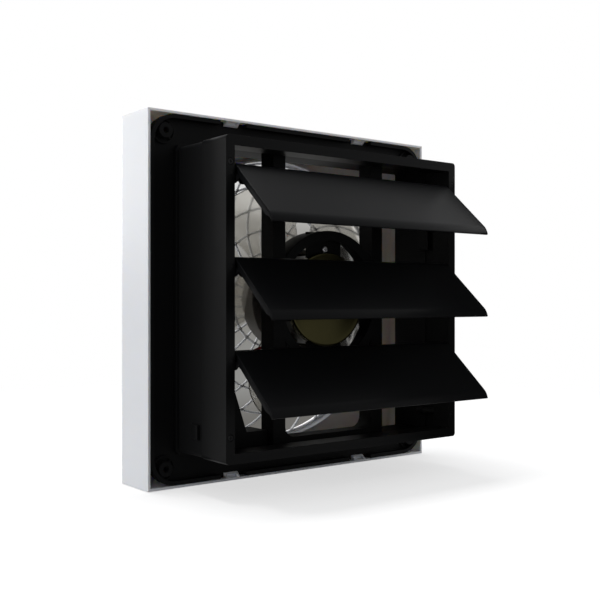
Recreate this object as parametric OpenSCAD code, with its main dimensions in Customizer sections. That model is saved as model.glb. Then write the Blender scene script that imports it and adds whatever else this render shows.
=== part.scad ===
// Window exhaust fan: a square duct through the wall or window, a shutter of three linked
// louvres on its outer end, and a clip-on front panel on the room side. Millimetres.
// X runs across the fan, Y out of the room along the air, Z up. The origin lies on the fan's
// axis, in the plane where the flange meets the wall.

/* [Front panel] */
// Overlap of the panel round the duct, on each side
panel_overlap = 28; // [26:0.5:34]
// Depth of the skirt, from the wall to the front
panel_depth = 47.5; // [46:0.5:56]
// Wall of the skirt
panel_wall = 2; // [1.6:0.1:2.6]
// Thickness of the face
panel_face = 2.5; // [2:0.1:4]
// Rounding of the face's outer edges
panel_edge_r = 4; // [3:0.5:6]
// Distance from the panel's side to the round intake
intake_margin = 25; // [23:0.5:32]
// Rounding of the intake's lip
intake_lip_r = 5; // [4:0.5:7]
// Depth of the intake's collar, from the front
collar_depth = 14.5; // [12:0.5:15]
// Wall of the collar
collar_wall = 2; // [1.6:0.1:3]
// Distance of each clip from the middle
clip_x = 70; // [50:1:90]
// Width of a clip
clip_w = 13; // [10:1:20]
// Reach of a clip over the flange
clip_reach = 4; // [3:0.5:5]

/* [Front grille] */
// Thickness of the grille, front to back
grille_t = 3; // [2.5:0.5:3.5]
// Depth of the grille behind the panel's front
grille_set_back = 3.5; // [3:0.5:4]
// Radius of the grille's middle disc
grille_hub_r = 24.7; // [20:0.1:36]
// Number of rings
ring_count = 5; // [3:1:7]
// Width of a ring
ring_w = 2.2; // [1.6:0.1:3]
// Number of swept spokes
spoke_count = 26; // [16:1:32]
// Width of a spoke
spoke_w = 1.6; // [1.2:0.1:2.4]
// Turn of a spoke from the hub to the outer ring, in degrees
spoke_sweep = 35; // [20:1:70]

/* [Body frame] */
// Radius of the flange's corners
flange_r = 22.5; // [21:0.5:24]
// Thickness of the flange
flange_t = 2.5; // [2:0.1:4]
// Height of the flange's border
border_h = 6; // [4:0.5:8]
// Width of the flange's border
border_w = 3.3; // [2.5:0.1:4]
// Outer width of the duct
duct_w = 244; // [238:1:246]
// Wall of the duct
duct_wall = 2.4; // [2:0.1:3]
// Reach of the duct beyond the wall plane, where the shutter frame starts
duct_reach = 35; // [33:0.5:38]
// Rounding of the duct's corners
duct_r = 3; // [2:0.5:4]
// Width of the step round the duct's foot
step_w = 2.5; // [1:0.1:3]
// Distance of the wall screws from the flange's sides
mount_margin = 13.7; // [13:0.1:15]
// Radius of the wall screw holes
mount_hole_r = 2.5; // [2:0.1:3]
// Radius of the wall screw bosses
mount_boss_r = 6; // [5:0.5:7]

/* [Shutter frame] */
// How far the shutter frame stands out beyond the duct's sides
shutter_lap = 0.6; // [0:0.1:1.5]
// Depth of the shutter frame
shutter_depth = 33.8; // [31:0.2:40]
// Wall of the shutter frame
shutter_wall = 2.5; // [2:0.1:3]
// Width of the rim round the louvres
rim_w = 7.8; // [7.2:0.1:9]
// Depth of the return wall behind the rim
return_depth = 18.8; // [14:0.2:20]
// Wall of the return
return_wall = 2; // [1.6:0.1:2.4]

/* [Louvres] */
// Angle of the louvres as stored, from closed, in degrees
louvre_open = 45; // [30:1:60]
// Height from the top louvre's axis to the rim's edge
louvre_top_gap = 20.8; // [19:0.1:23]
// Height from the bottom louvre's closed edge to the rim's edge
louvre_foot_gap = 5.7; // [4:0.1:7]
// How much shorter a louvre is below its axis than the louvres' pitch
louvre_step = 6.9; // [6.5:0.1:8]
// Distance of the louvre axes behind the rim's face
axis_set_back = 4.8; // [4:0.2:6]
// Thickness of a louvre
louvre_t = 1.8; // [1.4:0.1:2.4]
// Radius of the curl along a louvre's upper edge
curl_r = 8; // [7:0.2:8.6]
// How far the plate leans out at its bend
louvre_lean = 3.3; // [2:0.1:4]
// Height of the bent lip along the free edge
lip_h = 9; // [6:0.5:12]
// Depth of the end ribs
louvre_rib = 5; // [3:0.5:6]
// Gap between a louvre's end and the frame
louvre_end_gap = 1; // [0.6:0.1:1.6]
// Radius of a pivot pin
pivot_r = 2.5; // [2:0.1:3]
// Running clearance round a pivot or crank pin
pivot_gap = 0.05; // [0.03:0.01:0.09]

/* [Shutter link] */
// Distance of the link's middle from the louvres' ends
link_inset = 7.5; // [6.8:0.1:14]
// Thickness of the link bar
link_t = 2; // [1.6:0.1:2.4]
// Width of the link bar
link_w = 6; // [5:0.5:7]
// Crank pin's distance in and up from a closed louvre's axis
crank_arm = 10; // [9:0.2:11]
// Radius of a crank pin
crank_pin_r = 2; // [1.6:0.1:2.2]
// Radius of the eyes on the link and the cranks
crank_eye_r = 4; // [3.6:0.1:4.4]

/* [Motor bracket] */
// Distance from the motor's shell to a bar
bar_gap = 9; // [8.7:0.1:12]
// Width of a bar
bar_w = 12; // [10:0.5:14]
// Distance from the bars' front to the duct's end
bar_set_back = 10.8; // [9.5:0.1:11.5]
// Depth of a bar
bar_depth = 16.8; // [15.5:0.1:18]
// Wall of the bracket
bracket_wall = 2.2; // [1.8:0.1:2.8]
// Distance from the motor's shell to the outside of the ring
cradle_gap = 19.8; // [19:0.1:22]
// Width of the ring's face
cradle_face = 8; // [6:0.5:10]
// Depth of the ring
cradle_depth = 20; // [18:0.5:20.5]
// Height of the bottom rail
rail_h = 7.6; // [6:0.2:9]
// Rounding between the bars and the bottom rail
rail_fillet = 9; // [6:0.5:12]

/* [Motor] */
// How far a shield's edge stands out beyond the shell
shield_lip = 1.7; // [1.3:0.1:2]
// How far the rear shield's rim reaches beyond the duct
shield_reach = 3.2; // [2.8:0.1:4]
// Radius of the motor's shell
shell_r = 38.2; // [34:0.1:42]
// Wall of the shell
shell_wall = 1.2; // [0.8:0.1:1.4]
// Length of the motor from rim to rim
motor_l = 41.6; // [40:0.2:43]
// Radius of the shaft
shaft_r = 4; // [3.5:0.1:4.2]
// Running clearance of the shaft in its bearings
bearing_gap = 0.03; // [0.02:0.01:0.06]
// Outer radius of a bearing
bearing_r = 7; // [6.5:0.1:7.4]
// Length of a bearing
bearing_l = 8; // [7:0.2:9]
// Depth from the outside of the shell to the rotor
rotor_depth = 18.2; // [17:0.1:20]
// Air gap between the rotor and the stator
air_gap = 0.4; // [0.3:0.05:0.6]
// Length of the stator core
core_l = 18; // [16:0.5:18.5]

/* [Impeller] */
// Room between the blade tips and the duct's walls
tip_room = 13.6; // [8:0.2:20]
// How far the hub stands out beyond the motor
hub_over = 6.1; // [4:0.1:8]
// Room between the grille and the hub
grille_room = 8; // [7:0.5:9]
// Gap between the hub and the motor
hub_gap = 2.3; // [1.5:0.1:4]
// Wall of the hub
hub_wall = 2.4; // [2:0.1:3]
// Number of blades
blade_count = 5; // [3:1:6]
// Distance of the blades from the hub's ends
blade_inset = 2.5; // [2:0.5:4]
// Thickness of a blade at its root
blade_t = 3; // [2.4:0.1:3.6]

/* [Terminal box] */
// Height of the box's foot
box_foot_h = 14.1; // [12:0.1:16]
// Height of the box
box_h = 53.6; // [50:0.2:58]
// Depth of the box
box_depth = 24; // [22:0.5:24.5]
// Wall of the box
box_wall = 2; // [1.6:0.1:2.4]
// Thickness of the box's cover
cover_t = 2; // [1.6:0.1:2.6]
// Radius of a motor lead
lead_r = 1.1; // [0.9:0.05:1.3]

/* [Hidden] */

$fn = 48;
fine = 96;
overrun = 1;
flange_gap = 0.3;
seat_gap = 0.3;

panel_w = duct_w + 2 * panel_overlap;
intake_r = panel_w / 2 - intake_margin;
panel_in = panel_w / 2 - panel_wall;
panel_back = -panel_depth + panel_face;
flange_half = panel_in - flange_gap;
field_y = -border_h;
flange_y = field_y - flange_t;
duct_in = duct_w / 2 - duct_wall;
mount_pitch = 2 * (flange_half - mount_margin);
corner_ring_r = 10;
corner_rib_t = 1.2;
corner_rib_h = 2;
clip_gap = 1;
clip_side_gap = 6.5;
clip_hook_t = 1.5;
clip_rim = 1.4;
clip_floor = 1;
post_w = 3;
post_depth = 7;
post_x = clip_x + clip_w;
grille_y = -panel_depth + grille_set_back;
grille_r = intake_r - seat_gap;
grille_seat_l = 14;
grille_seat_h = 2.5;
grille_seat_t = 2;
grille_seat_count = 6;
ring_pitch = (grille_r - grille_hub_r) / ring_count;
spoke_phase = 3.8;

rim_y = duct_reach + shutter_depth;
shutter_half = duct_w / 2 + shutter_lap;
aperture = shutter_half - rim_w;
screw_drop = 12.3;
screw_z = aperture - screw_drop;
rim_t = 2.5;
screw_x = shutter_half - rim_w / 2;
shutter_post_r = 3.2;
shutter_screw_r = 1.3;
shutter_hole_r = 1.6;
shutter_head_r = 2.5;
shutter_head_h = 1.6;
shutter_boss_l = 8;
tab_w = 24;
tab_z = 58;
tab_t = 2;
tab_reach = 8;
tab_root = 5;
tab_clear = 0.2;
catch_h = 11.6;
catch_l = 13.5;
catch_t = 2.6;
catch_end = duct_reach - 3.75;
catch_land_share = 0.25;

pivot_y = rim_y - axis_set_back;
pivot_boss_r = 5;
pivot_boss_t = 1.8;
louvre_half = aperture - louvre_end_gap;
louvre_count = 3;
louvre_pitch = (2 * aperture - louvre_top_gap - louvre_foot_gap + louvre_step) / louvre_count;
louvre_drop = louvre_pitch - louvre_step;
louvre_z = [for (i = [0:louvre_count - 1]) aperture - louvre_top_gap - i * louvre_pitch];
end_t = 2;
curl_turn = 75;
curl_steps = 6;
lip_steps = 4;
lip_bend_share = 1 / 6;
lip_lean_share = 1 / 3;
pin_length = louvre_end_gap + return_wall + pivot_boss_t;
bore_end = aperture + return_wall + pivot_boss_t + overrun / 2;
mid_rib_x = louvre_half / louvre_count;

link_side_gap = 0.3;
crank_t = 2;
link_pin_gap = 0.3;
crank_head_r = 2.6;
crank_head_t = 1;
link_x = louvre_half - link_inset;
crank_x0 = link_x - link_t / 2 - link_side_gap - crank_t;
crank_reach = crank_arm * sqrt(2);

bar_x = shell_r + bar_gap;
bar_out = bar_x + bar_w;
cradle_r = shell_r + cradle_gap;
bar_y = duct_reach - bar_set_back;
bracket_front = bar_y + bar_depth;
cradle_y = bracket_front - cradle_depth;
lug_w = 36;
lug_t = 3;
lug_y = duct_reach - 5;
ear_w = 12;
ear_t = 3;
motor_screw_at = shell_r + 4.5;
motor_screw_r = 1.5;
motor_head_r = 2.7;
motor_head_h = 1.7;
motor_screw_l = 7.5;
lug_hole_gap = 0.2;
strap_h = 2;
bracket_screw_r = 1.8;
bracket_screw_y = duct_reach - 5;
bracket_head_r = 3.4;
bracket_head_h = 1.8;
bracket_screw_l = 10;

shield_r = shell_r + shield_lip;
rotor_r = shell_r - rotor_depth;
shield_y = duct_reach + shield_reach;
motor_front = shield_y - motor_l;
shield_t = 1.4;
rim_rise = 0.8;
shield_lap = 3;
housing_wall = 2;
cap_t = 1.5;
bearing_share = 0.1;
rear_bearing_y = shield_y - (1 - bearing_share) * bearing_l;
front_bearing_y = motor_front - bearing_share * bearing_l;
shell_y = motor_front + rim_rise + shield_t;
shell_end = shield_y - rim_rise - shield_t;
core_y = (shell_y + shell_end - core_l) / 2;
rotor_over = 2;
winding_l = 5;
winding_in = rotor_r + 2;
winding_out = shell_r - shell_wall - 3;
washer_r = 6.5;
washer_gap = 0.3;
shaft_hole_gap = 0.8;
thread_r = 3;
nut_r = 7;
nut_t = 5;
nut_cap = 1;
hub_r = shield_r + hub_over;
tip_r = duct_in - tip_room;
hub_front_y = grille_y + grille_t + grille_room;
hub_back = front_bearing_y - cap_t - hub_gap;
hub_l = hub_back - hub_front_y;
thread_y = hub_front_y + hub_wall;
shaft_end = rear_bearing_y + bearing_l - seat_gap;
boss_r = 9;
hub_corner = 9;
hub_draft = 1;
pin_r = 1.25;
pin_half = 7.5;
pin_y = hub_back - 3;
hub_rib_t = 2;
hub_rib_share = 0.48;
hub_rib_l = hub_rib_share * hub_l;
hub_rib_count = 6;
blade_front_y = hub_front_y + blade_inset;
blade_depth = hub_l - 2 * blade_inset;

box_in_y = duct_reach - 1;
box_y = box_in_y - box_depth;
box_side = screw_x - shutter_post_r - seat_gap;
box_floor = -duct_in;
foot_x = bar_out + 1;
slant_low_share = 0.367;
slant_high_share = 0.611;
slant_low_x = foot_x + slant_low_share * (box_side - foot_x);
slant_high_x = foot_x + slant_high_share * (box_side - foot_x);
gland_r = 4;
grommet_r = 5.4;
grommet_hole_r = 2.8;
grommet_lift = 12;
grommet_z = box_floor + grommet_lift;
cover_screw_x = (foot_x + slant_low_x) / 2;
cover_screw_z = box_floor + box_foot_h / 2;
cover_screw_r = 1.4;
cover_head_r = 2.8;
cover_head_h = 1.8;
cover_screw_l = 9;
cover_post_r = 3.2;
block_share = 0.67;
block_room = box_side - box_wall - slant_high_x;
block_w = block_share * block_room;
block_x = slant_high_x + (block_room - block_w) / 2;
block_lift = 9.9;
block_z = box_floor + box_foot_h + block_lift;
block_h = 24;
grommet_x = block_x + block_w / 2;
block_depth = 12;
terminal_r = 2.2;
terminal_h = 2.4;
terminal_step = 10;

// Shares of a blade's outline and of its section
blade_width_root = 50;
blade_width_tip = 42;
blade_sweep = 16;
blade_camber_share = 0.12;
blade_thin_share = 0.55;
blade_edge_share = 0.3;
tip_round_share = 0.3;
tip_narrow_share = 0.3;
blade_steps = 7;
chord_steps = 6;

// Route of the leads: where they leave the motor's shell, in degrees, how far they lie from
// the duct's end at the motor and at the terminal box, and where they enter the box's top
lead_sides = 8;
lead_points = 6;
lead_steps = 2;
lead_sag = 6;
lead_red_start = 19;
lead_red_end = 18;
lead_red_inset = 14;
lead_olive_start = 22;
lead_olive_end = 21;
lead_olive_inset = 19;
lead_red = [-58, duct_reach - lead_red_start, duct_reach - lead_red_end, lead_red_inset];
lead_olive = [-68, duct_reach - lead_olive_start, duct_reach - lead_olive_end, lead_olive_inset];
function lead_route(lead) = let (
        a = (shell_r - shell_wall / 2) * [cos(lead[0]), 0, sin(lead[0])] + [0, lead[1], 0],
        b = [box_side - lead[3], lead[2], box_floor + box_h - box_wall / 2])
    [for (i = [0:lead_points]) let (turn = 90 * i / lead_points)
        [a[0] + (b[0] - a[0]) * sin(turn), a[1] + (b[1] - a[1]) * i / lead_points,
            a[2] + (b[2] - a[2]) * (1 - cos(turn)) - lead_sag * sin(2 * turn)]];

black = "#2a2b2d";
white = "#e9ebef";

// Raises an outline drawn in X and Z along Y, from y
module out(y, h) {
    translate([0, y, 0]) rotate([-90, 0, 0]) linear_extrude(h) mirror([0, 1]) children();
}

// Turns a profile drawn as radius and Y round the fan's axis
module turned() {
    rotate([-90, 0, 0]) rotate_extrude($fn = fine) children();
}

// Raises an outline drawn in Y and Z along X, from x
module across(x, w) {
    translate([x, 0, 0]) rotate([90, 0, 90]) linear_extrude(w) children();
}

// A disc or rod along Y
module rod(x, y, z, r, h) {
    translate([x, y, z]) rotate([-90, 0, 0]) cylinder(r = r, h = h);
}

// A disc or rod along X
module axle(x, y, z, r, w) {
    translate([x, y, z]) rotate([0, 90, 0]) cylinder(r = r, h = w);
}

// A block from its low corner to its high corner
module block(low, high) {
    translate(low) cube(high - low);
}

// A square with round corners, drawn round the middle
module round_square(half, r) {
    square([2 * half, 2 * (half - r)], center = true);
    square([2 * (half - r), 2 * half], center = true);
    for (x = [-1, 1], z = [-1, 1]) translate([x * (half - r), z * (half - r)]) circle(r = r);
}

// A square with its two front corners rounded, for the panel's side views
module front_rounded(half, depth, r) {
    translate([-half, r - depth]) square([2 * half, depth - r]);
    translate([r - half, -depth]) square([2 * (half - r), r]);
    for (x = [-1, 1]) translate([x * (half - r), r - depth]) circle(r = r);
}

// The panel's outer shape, with its front edges rounded on all four sides
module panel_shape(half, depth, r) {
    intersection() {
        translate([0, 0, -half]) linear_extrude(2 * half) front_rounded(half, depth, r);
        rotate([0, 90, 0]) translate([0, 0, -half]) linear_extrude(2 * half)
            front_rounded(half, depth, r);
    }
}

// A swept tube through points, with square ends
function unit(v) = v / norm(v);
function smooth(p, steps) = [for (i = [0:len(p) - 2], k = [0:steps - 1]) let (
        a = p[max(i - 1, 0)], b = p[i], c = p[i + 1], d = p[min(i + 2, len(p) - 1)], t = k / steps)
    0.5 * (2 * b + (c - a) * t + (2 * a - 5 * b + 4 * c - d) * t * t
        + (3 * b - 3 * c + d - a) * t * t * t), p[len(p) - 1]];
function heading(p, i) = unit(p[min(i + 1, len(p) - 1)] - p[max(i - 1, 0)]);
function ring_at(p, i, r, n) = let (t = heading(p, i), s = unit(cross(t, [0, 1, 0])), u = cross(s, t))
    [for (k = [0:n - 1]) p[i] + r * (cos(360 * k / n) * s + sin(360 * k / n) * u)];
module tube(route, r, n) {
    p = smooth(route, lead_steps);
    m = len(p);
    points = [for (i = [0:m - 1]) each ring_at(p, i, r, n)];
    sides = [for (i = [0:m - 2], k = [0:n - 1]) let (
            a = i * n + k, b = i * n + (k + 1) % n, c = a + n, d = b + n)
        each [[a, b, d], [a, d, c]]];
    polyhedron(points, concat([[for (k = [n - 1:-1:0]) k]], sides,
        [[for (k = [0:n - 1]) (m - 1) * n + k]]));
}

module front_panel() {
    color(white) {
        difference() {
            panel_shape(panel_w / 2, panel_depth, panel_edge_r);
            difference() {
                panel_shape(panel_in, panel_depth - panel_face, panel_edge_r);
                turned() intake_section();
            }
            turned() square_at(0, -panel_depth - overrun, intake_r, panel_depth);
            turned() lip_cut();
        }
        for (x = [-1, 1], z = [-1, 1]) panel_clip(x * clip_x, z);
        for (side = [0, 90, 180, 270], s = [-1, 1]) rotate([0, side, 0]) panel_post(s * post_x);
        for (i = [0:grille_seat_count - 1]) rotate([0, i * 360 / grille_seat_count, 0]) grille_seat();
    }
}

module square_at(x, y, w, h) {
    translate([x, y]) square([w, h]);
}

// The collar and its lip, as a radius and Y profile
module intake_section() {
    square_at(intake_r - overrun, -panel_depth, collar_wall + overrun, collar_depth);
    square_at(intake_r - overrun, -panel_depth, intake_lip_r + overrun, intake_lip_r);
}

// What the lip's rounding takes away from the collar's front edge
module lip_cut() {
    difference() {
        square_at(intake_r - overrun, -panel_depth - overrun, intake_lip_r + overrun,
            intake_lip_r + overrun);
        translate([intake_r + intake_lip_r, intake_lip_r - panel_depth]) circle(r = intake_lip_r);
    }
}

// A hollow clip with a sloping back that holds down the flange
module panel_clip(x, side) {
    z_in = panel_in - clip_reach;
    scale([1, 1, side]) difference() {
        across(x - clip_w / 2, clip_w) polygon([[field_y, panel_in + panel_wall / 2], [field_y, z_in],
            [field_y + clip_hook_t, z_in], [0, panel_in], [0, panel_in + panel_wall / 2]]);
        block([x - clip_w / 2 + clip_rim, field_y + clip_floor, z_in + clip_rim],
            [x + clip_w / 2 - clip_rim, overrun, panel_in]);
    }
}

// A post on the skirt that the flange lies on
module panel_post(x) {
    block([x - post_w / 2, panel_back - panel_face / 2, panel_in - post_depth],
        [x + post_w / 2, flange_y, panel_in + panel_wall / 2]);
}

// A nub on the collar behind the grille
module grille_seat() {
    block([-grille_seat_l / 2, grille_y + grille_t, intake_r - grille_seat_h],
        [grille_seat_l / 2, grille_y + grille_t + grille_seat_t, intake_r + collar_wall / 2]);
}

module front_grille() {
    color(white) {
        turned() square_at(0, grille_y, grille_hub_r, grille_t);
        for (i = [0:ring_count - 1]) turned()
            square_at(grille_r - i * ring_pitch - ring_w, grille_y, ring_w, grille_t);
        for (i = [0:spoke_count - 1]) rotate([0, i * 360 / spoke_count - spoke_phase, 0]) spoke();
    }
}

// One spoke, its turn growing evenly with its radius
function spoke_point(r, side) = let (
        s = (r - grille_hub_r) / (grille_r - grille_hub_r), a = spoke_sweep * s * s,
        half_turn = side * spoke_w * 90 / PI / r * (1 + s))
    [r * cos(a + half_turn), r * sin(a + half_turn)];
module spoke() {
    r0 = grille_hub_r - ring_w / 2;
    r1 = grille_r - ring_w / 2;
    steps = 6;
    out(grille_y, grille_t) polygon(concat(
        [for (i = [0:steps]) spoke_point(r0 + (r1 - r0) * i / steps, -1)],
        [for (i = [steps:-1:0]) spoke_point(r0 + (r1 - r0) * i / steps, 1)]));
}

module body_frame() {
    color(black) difference() {
        union() {
            difference() {
                union() {
                    out(flange_y, flange_t) round_square(flange_half, flange_r);
                    out(flange_y, -flange_y) difference() {
                        round_square(flange_half, flange_r);
                        round_square(flange_half - border_w, flange_r - border_w);
                    }
                    out(flange_y, -flange_y) round_square(duct_w / 2 + step_w, duct_r + step_w);
                    out(flange_y, duct_reach - flange_y) round_square(duct_w / 2, duct_r);
                    for (x = [-1, 1], z = [-1, 1]) translate([x * mount_pitch / 2, 0, z * mount_pitch / 2])
                        wall_boss();
                    install_catch();
                }
                out(flange_y - overrun, duct_reach - flange_y + 2 * overrun)
                    square(2 * duct_in, center = true);
                out(flange_y - overrun, overrun - flange_y - duct_wall)
                    round_square(duct_in + step_w, duct_r);
            }
            for (x = [-1, 1], z = [-1, 1]) rod(x * screw_x, duct_reach - shutter_boss_l, z * screw_z,
                shutter_post_r, shutter_boss_l);
        }
        for (x = [-1, 1], z = [-1, 1]) {
            rod(x * mount_pitch / 2, flange_y - overrun, z * mount_pitch / 2, mount_hole_r,
                2 * overrun - flange_y);
            clip_notch(x * clip_x, z);
            rod(x * screw_x, duct_reach - shutter_boss_l - overrun, z * screw_z, shutter_screw_r,
                shutter_boss_l + 2 * overrun);
        }
        for (x = [-1, 1]) translate([x * (bar_x + bar_w / 2), bracket_screw_y, -panel_w / 2])
            cylinder(r = bracket_screw_r, h = panel_w);
    }
}

// A wall screw's boss, with a ring and four short ribs round it
module wall_boss() {
    rib_y = field_y - flange_t / 2;
    rib_l = corner_rib_h + flange_t / 2;
    rod(0, flange_y, 0, mount_boss_r, -flange_y);
    difference() {
        rod(0, rib_y, 0, corner_ring_r, rib_l);
        rod(0, rib_y - overrun, 0, corner_ring_r - corner_rib_t, rib_l + 2 * overrun);
    }
    for (turn = [45, 135]) rotate([0, turn, 0])
        block([corner_rib_t / 2 - corner_ring_r, rib_y, -corner_rib_t / 2],
            [corner_ring_r - corner_rib_t / 2, rib_y + rib_l, corner_rib_t / 2]);
}

// A ramp on the duct's side that holds the fan in its opening
module install_catch() {
    root = duct_w / 2 - duct_wall / 2;
    translate([0, 0, -screw_z - catch_h / 2]) linear_extrude(catch_h) polygon([
        [root, catch_end - catch_l], [duct_w / 2, catch_end - catch_l],
        [duct_w / 2 + catch_t, catch_end - catch_land_share * catch_l],
        [duct_w / 2 + catch_t, catch_end], [root, catch_end]]);
}

// Where a clip passes the flange's border
module clip_notch(x, side) {
    z_in = panel_in - clip_reach - clip_gap;
    scale([1, 1, side]) block([x - clip_w / 2 - clip_side_gap, field_y, z_in],
        [x + clip_w / 2 + clip_side_gap, overrun, panel_in + overrun]);
}

module shutter_frame() {
    color(black) difference() {
        union() {
            out(duct_reach, shutter_depth) difference() {
                round_square(shutter_half, duct_r);
                square(2 * (shutter_half - shutter_wall), center = true);
            }
            out(rim_y - rim_t, rim_t) difference() {
                square(2 * shutter_half - shutter_wall, center = true);
                square(2 * aperture, center = true);
            }
            out(rim_y - return_depth, return_depth) difference() {
                square(2 * (aperture + return_wall), center = true);
                square(2 * aperture, center = true);
            }
            for (x = [-1, 1], z = [-1, 1]) {
                rod(x * screw_x, duct_reach, z * screw_z, shutter_post_r, shutter_depth);
                shutter_tab(x, z * tab_z);
            }
            for (x = [-1, 1], z = louvre_z) axle(x > 0 ? aperture : -aperture - return_wall - pivot_boss_t,
                pivot_y, z, pivot_boss_r, return_wall + pivot_boss_t);
        }
        for (x = [-1, 1], z = [-1, 1]) {
            rod(x * screw_x, duct_reach - overrun, z * screw_z, shutter_hole_r,
                shutter_depth + 2 * overrun);
            rod(x * screw_x, rim_y - shutter_head_h, z * screw_z, shutter_head_r + tab_clear,
                shutter_head_h + overrun);
        }
        for (z = louvre_z) axle(-bore_end, pivot_y, z, pivot_r + pivot_gap, 2 * bore_end);
    }
}

// A tab that lines the shutter frame up inside the duct
module shutter_tab(x, z) {
    face = duct_in - tab_clear;
    scale([x, 1, 1]) {
        block([face - tab_t, duct_reach - tab_reach, z - tab_w / 2],
            [face, duct_reach + tab_root, z + tab_w / 2]);
        block([face - tab_t, duct_reach, z - tab_w / 2],
            [shutter_half - shutter_wall / 2, duct_reach + tab_root, z + tab_w / 2]);
    }
}

// A louvre's outer line in the closed position, as Y and Z from its axis
function bezier(a, b, c, t) = (1 - t) * (1 - t) * a + 2 * t * (1 - t) * b + t * t * c;
lip_start = [curl_r + louvre_lean, lip_h - louvre_drop];
lip_bend = lip_start + [lip_bend_share * louvre_lean, -lip_h / 2];
lip_end = [curl_r + lip_lean_share * louvre_lean, -louvre_drop];
louvre_line = concat(
    [for (i = [curl_steps:-1:0]) let (a = curl_turn * i / curl_steps) curl_r * [cos(a), sin(a)]],
    [for (i = [0:lip_steps]) bezier(lip_start, lip_bend, lip_end, i / lip_steps)]);
function inward(line, i, d) = let (t = unit(line[min(i + 1, len(line) - 1)] - line[max(i - 1, 0)]))
    line[i] + d * [t[1], -t[0]];

// Part of the louvre's section, from its outer line to a depth
module louvre_section(depth, first, last) {
    polygon(concat([for (i = [first:last]) louvre_line[i]],
        [for (i = [last:-1:first]) inward(louvre_line, i, depth)]));
}

module louvre(z) {
    color(black) translate([0, pivot_y, z]) rotate([louvre_open, 0, 0]) {
        across(-louvre_half, 2 * louvre_half) louvre_section(louvre_t, 0, curl_steps + 1 + lip_steps);
        for (x = [-louvre_half, -mid_rib_x, mid_rib_x - end_t, louvre_half - end_t]) {
            across(x, end_t) louvre_section(louvre_rib, curl_steps, curl_steps + 1);
            axle(x, 0, 0, curl_r - louvre_t / 2, end_t);
        }
        for (x = [-louvre_half - pin_length, louvre_half - end_t])
            axle(x, 0, 0, pivot_r, pin_length + end_t);
        crank();
    }
}

// The crank that the link bar turns, with its pin and snap head
module crank() {
    axle(crank_x0, 0, 0, curl_r - louvre_t / 2, crank_t);
    axle(crank_x0, -crank_arm, crank_arm, crank_eye_r, crank_t);
    translate([crank_x0, 0, 0]) rotate([45, 0, 0])
        translate([0, -crank_eye_r, 0]) cube([crank_t, 2 * crank_eye_r, crank_reach]);
    axle(crank_x0, -crank_arm, crank_arm, crank_pin_r,
        crank_t + 2 * link_side_gap + link_t + crank_head_t);
    axle(crank_x0 + crank_t + 2 * link_side_gap + link_t, -crank_arm, crank_arm, crank_head_r,
        crank_head_t);
}

module louvre_top() {
    louvre(louvre_z[0]);
}

module louvre_middle() {
    louvre(louvre_z[1]);
}

module louvre_bottom() {
    louvre(louvre_z[2]);
}

// Where a crank pin lies beyond and above its louvre's axis as stored
crank_turned = crank_reach * [cos(135 + louvre_open), sin(135 + louvre_open)];

module link_bar() {
    color(black) translate([0, pivot_y + crank_turned[0], crank_turned[1]]) difference() {
        union() {
            for (z = louvre_z) axle(link_x - link_t / 2, 0, z, crank_eye_r, link_t);
            block([link_x - link_t / 2, -link_w / 2, louvre_z[2]],
                [link_x + link_t / 2, link_w / 2, louvre_z[0]]);
        }
        for (i = [0:2]) axle(link_x - link_t, 0, louvre_z[i],
            crank_pin_r + (i == 1 ? pivot_gap : link_pin_gap), 2 * link_t);
    }
}

module motor_bracket() {
    color(black) difference() {
        union() {
            for (x = [-1, 1]) scale([x, 1, 1]) difference() {
                block([bar_x, bar_y, -duct_in], [bar_out, bracket_front, duct_in]);
                block([bar_x + bracket_wall, bar_y - overrun, 2 * rail_h - duct_in],
                    [bar_out - bracket_wall, bracket_front - bracket_wall, duct_in - 2 * rail_h]);
            }
            block([-bar_x, bar_y, -duct_in], [bar_x, bracket_front, rail_h - duct_in]);
            block([-bar_x, bar_y, duct_in - strap_h], [bar_x, bracket_front, duct_in]);
            for (x = [-1, 1]) scale([x, 1, 1]) rail_corner();
            turned() {
                square_at(cradle_r - bracket_wall, cradle_y, bracket_wall, cradle_depth);
                square_at(cradle_r - cradle_face, bracket_front - bracket_wall, cradle_face,
                    bracket_wall);
            }
            for (side = [0, 90, 180, 270]) rotate([0, side, 0]) motor_lug();
        }
        for (side = [0, 90, 180, 270]) rotate([0, side, 0]) rod(motor_screw_at, lug_y - overrun, 0,
            motor_screw_r + lug_hole_gap, lug_t + 2 * overrun);
        for (x = [-1, 1], z = [-1, 1]) translate([x * (bar_x + bar_w / 2), bracket_screw_y,
                z > 0 ? duct_in - bracket_screw_l : -duct_in - overrun])
            cylinder(r = bracket_screw_r, h = bracket_screw_l + overrun);
    }
}

// A lug from the ring to the motor
module motor_lug() {
    difference() {
        block([0, lug_y, -lug_w / 2], [cradle_r - bracket_wall / 2, lug_y + lug_t, lug_w / 2]);
        rod(0, lug_y - overrun, 0, shell_r + seat_gap, lug_t + 2 * overrun);
    }
}

// The rounding between a bar and the bottom rail
module rail_corner() {
    out(bar_y, bar_depth) difference() {
        square_at(bar_x - rail_fillet, rail_h - duct_in - overrun, rail_fillet + overrun,
            rail_fillet + overrun);
        translate([bar_x - rail_fillet, rail_h - duct_in + rail_fillet]) circle(r = rail_fillet);
    }
}

module motor_rear_shield() {
    color("#8a8250") turned() {
        square_at(bearing_r, shield_y - rim_rise - shield_t, shield_r - bearing_r, shield_t);
        square_at(shell_r, shell_end - shield_lap, shield_r - shell_r, shield_y - shell_end + shield_lap);
        square_at(bearing_r, rear_bearing_y, housing_wall, bearing_l + cap_t);
        square_at(0, rear_bearing_y + bearing_l, bearing_r + housing_wall, cap_t);
    }
}

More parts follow.
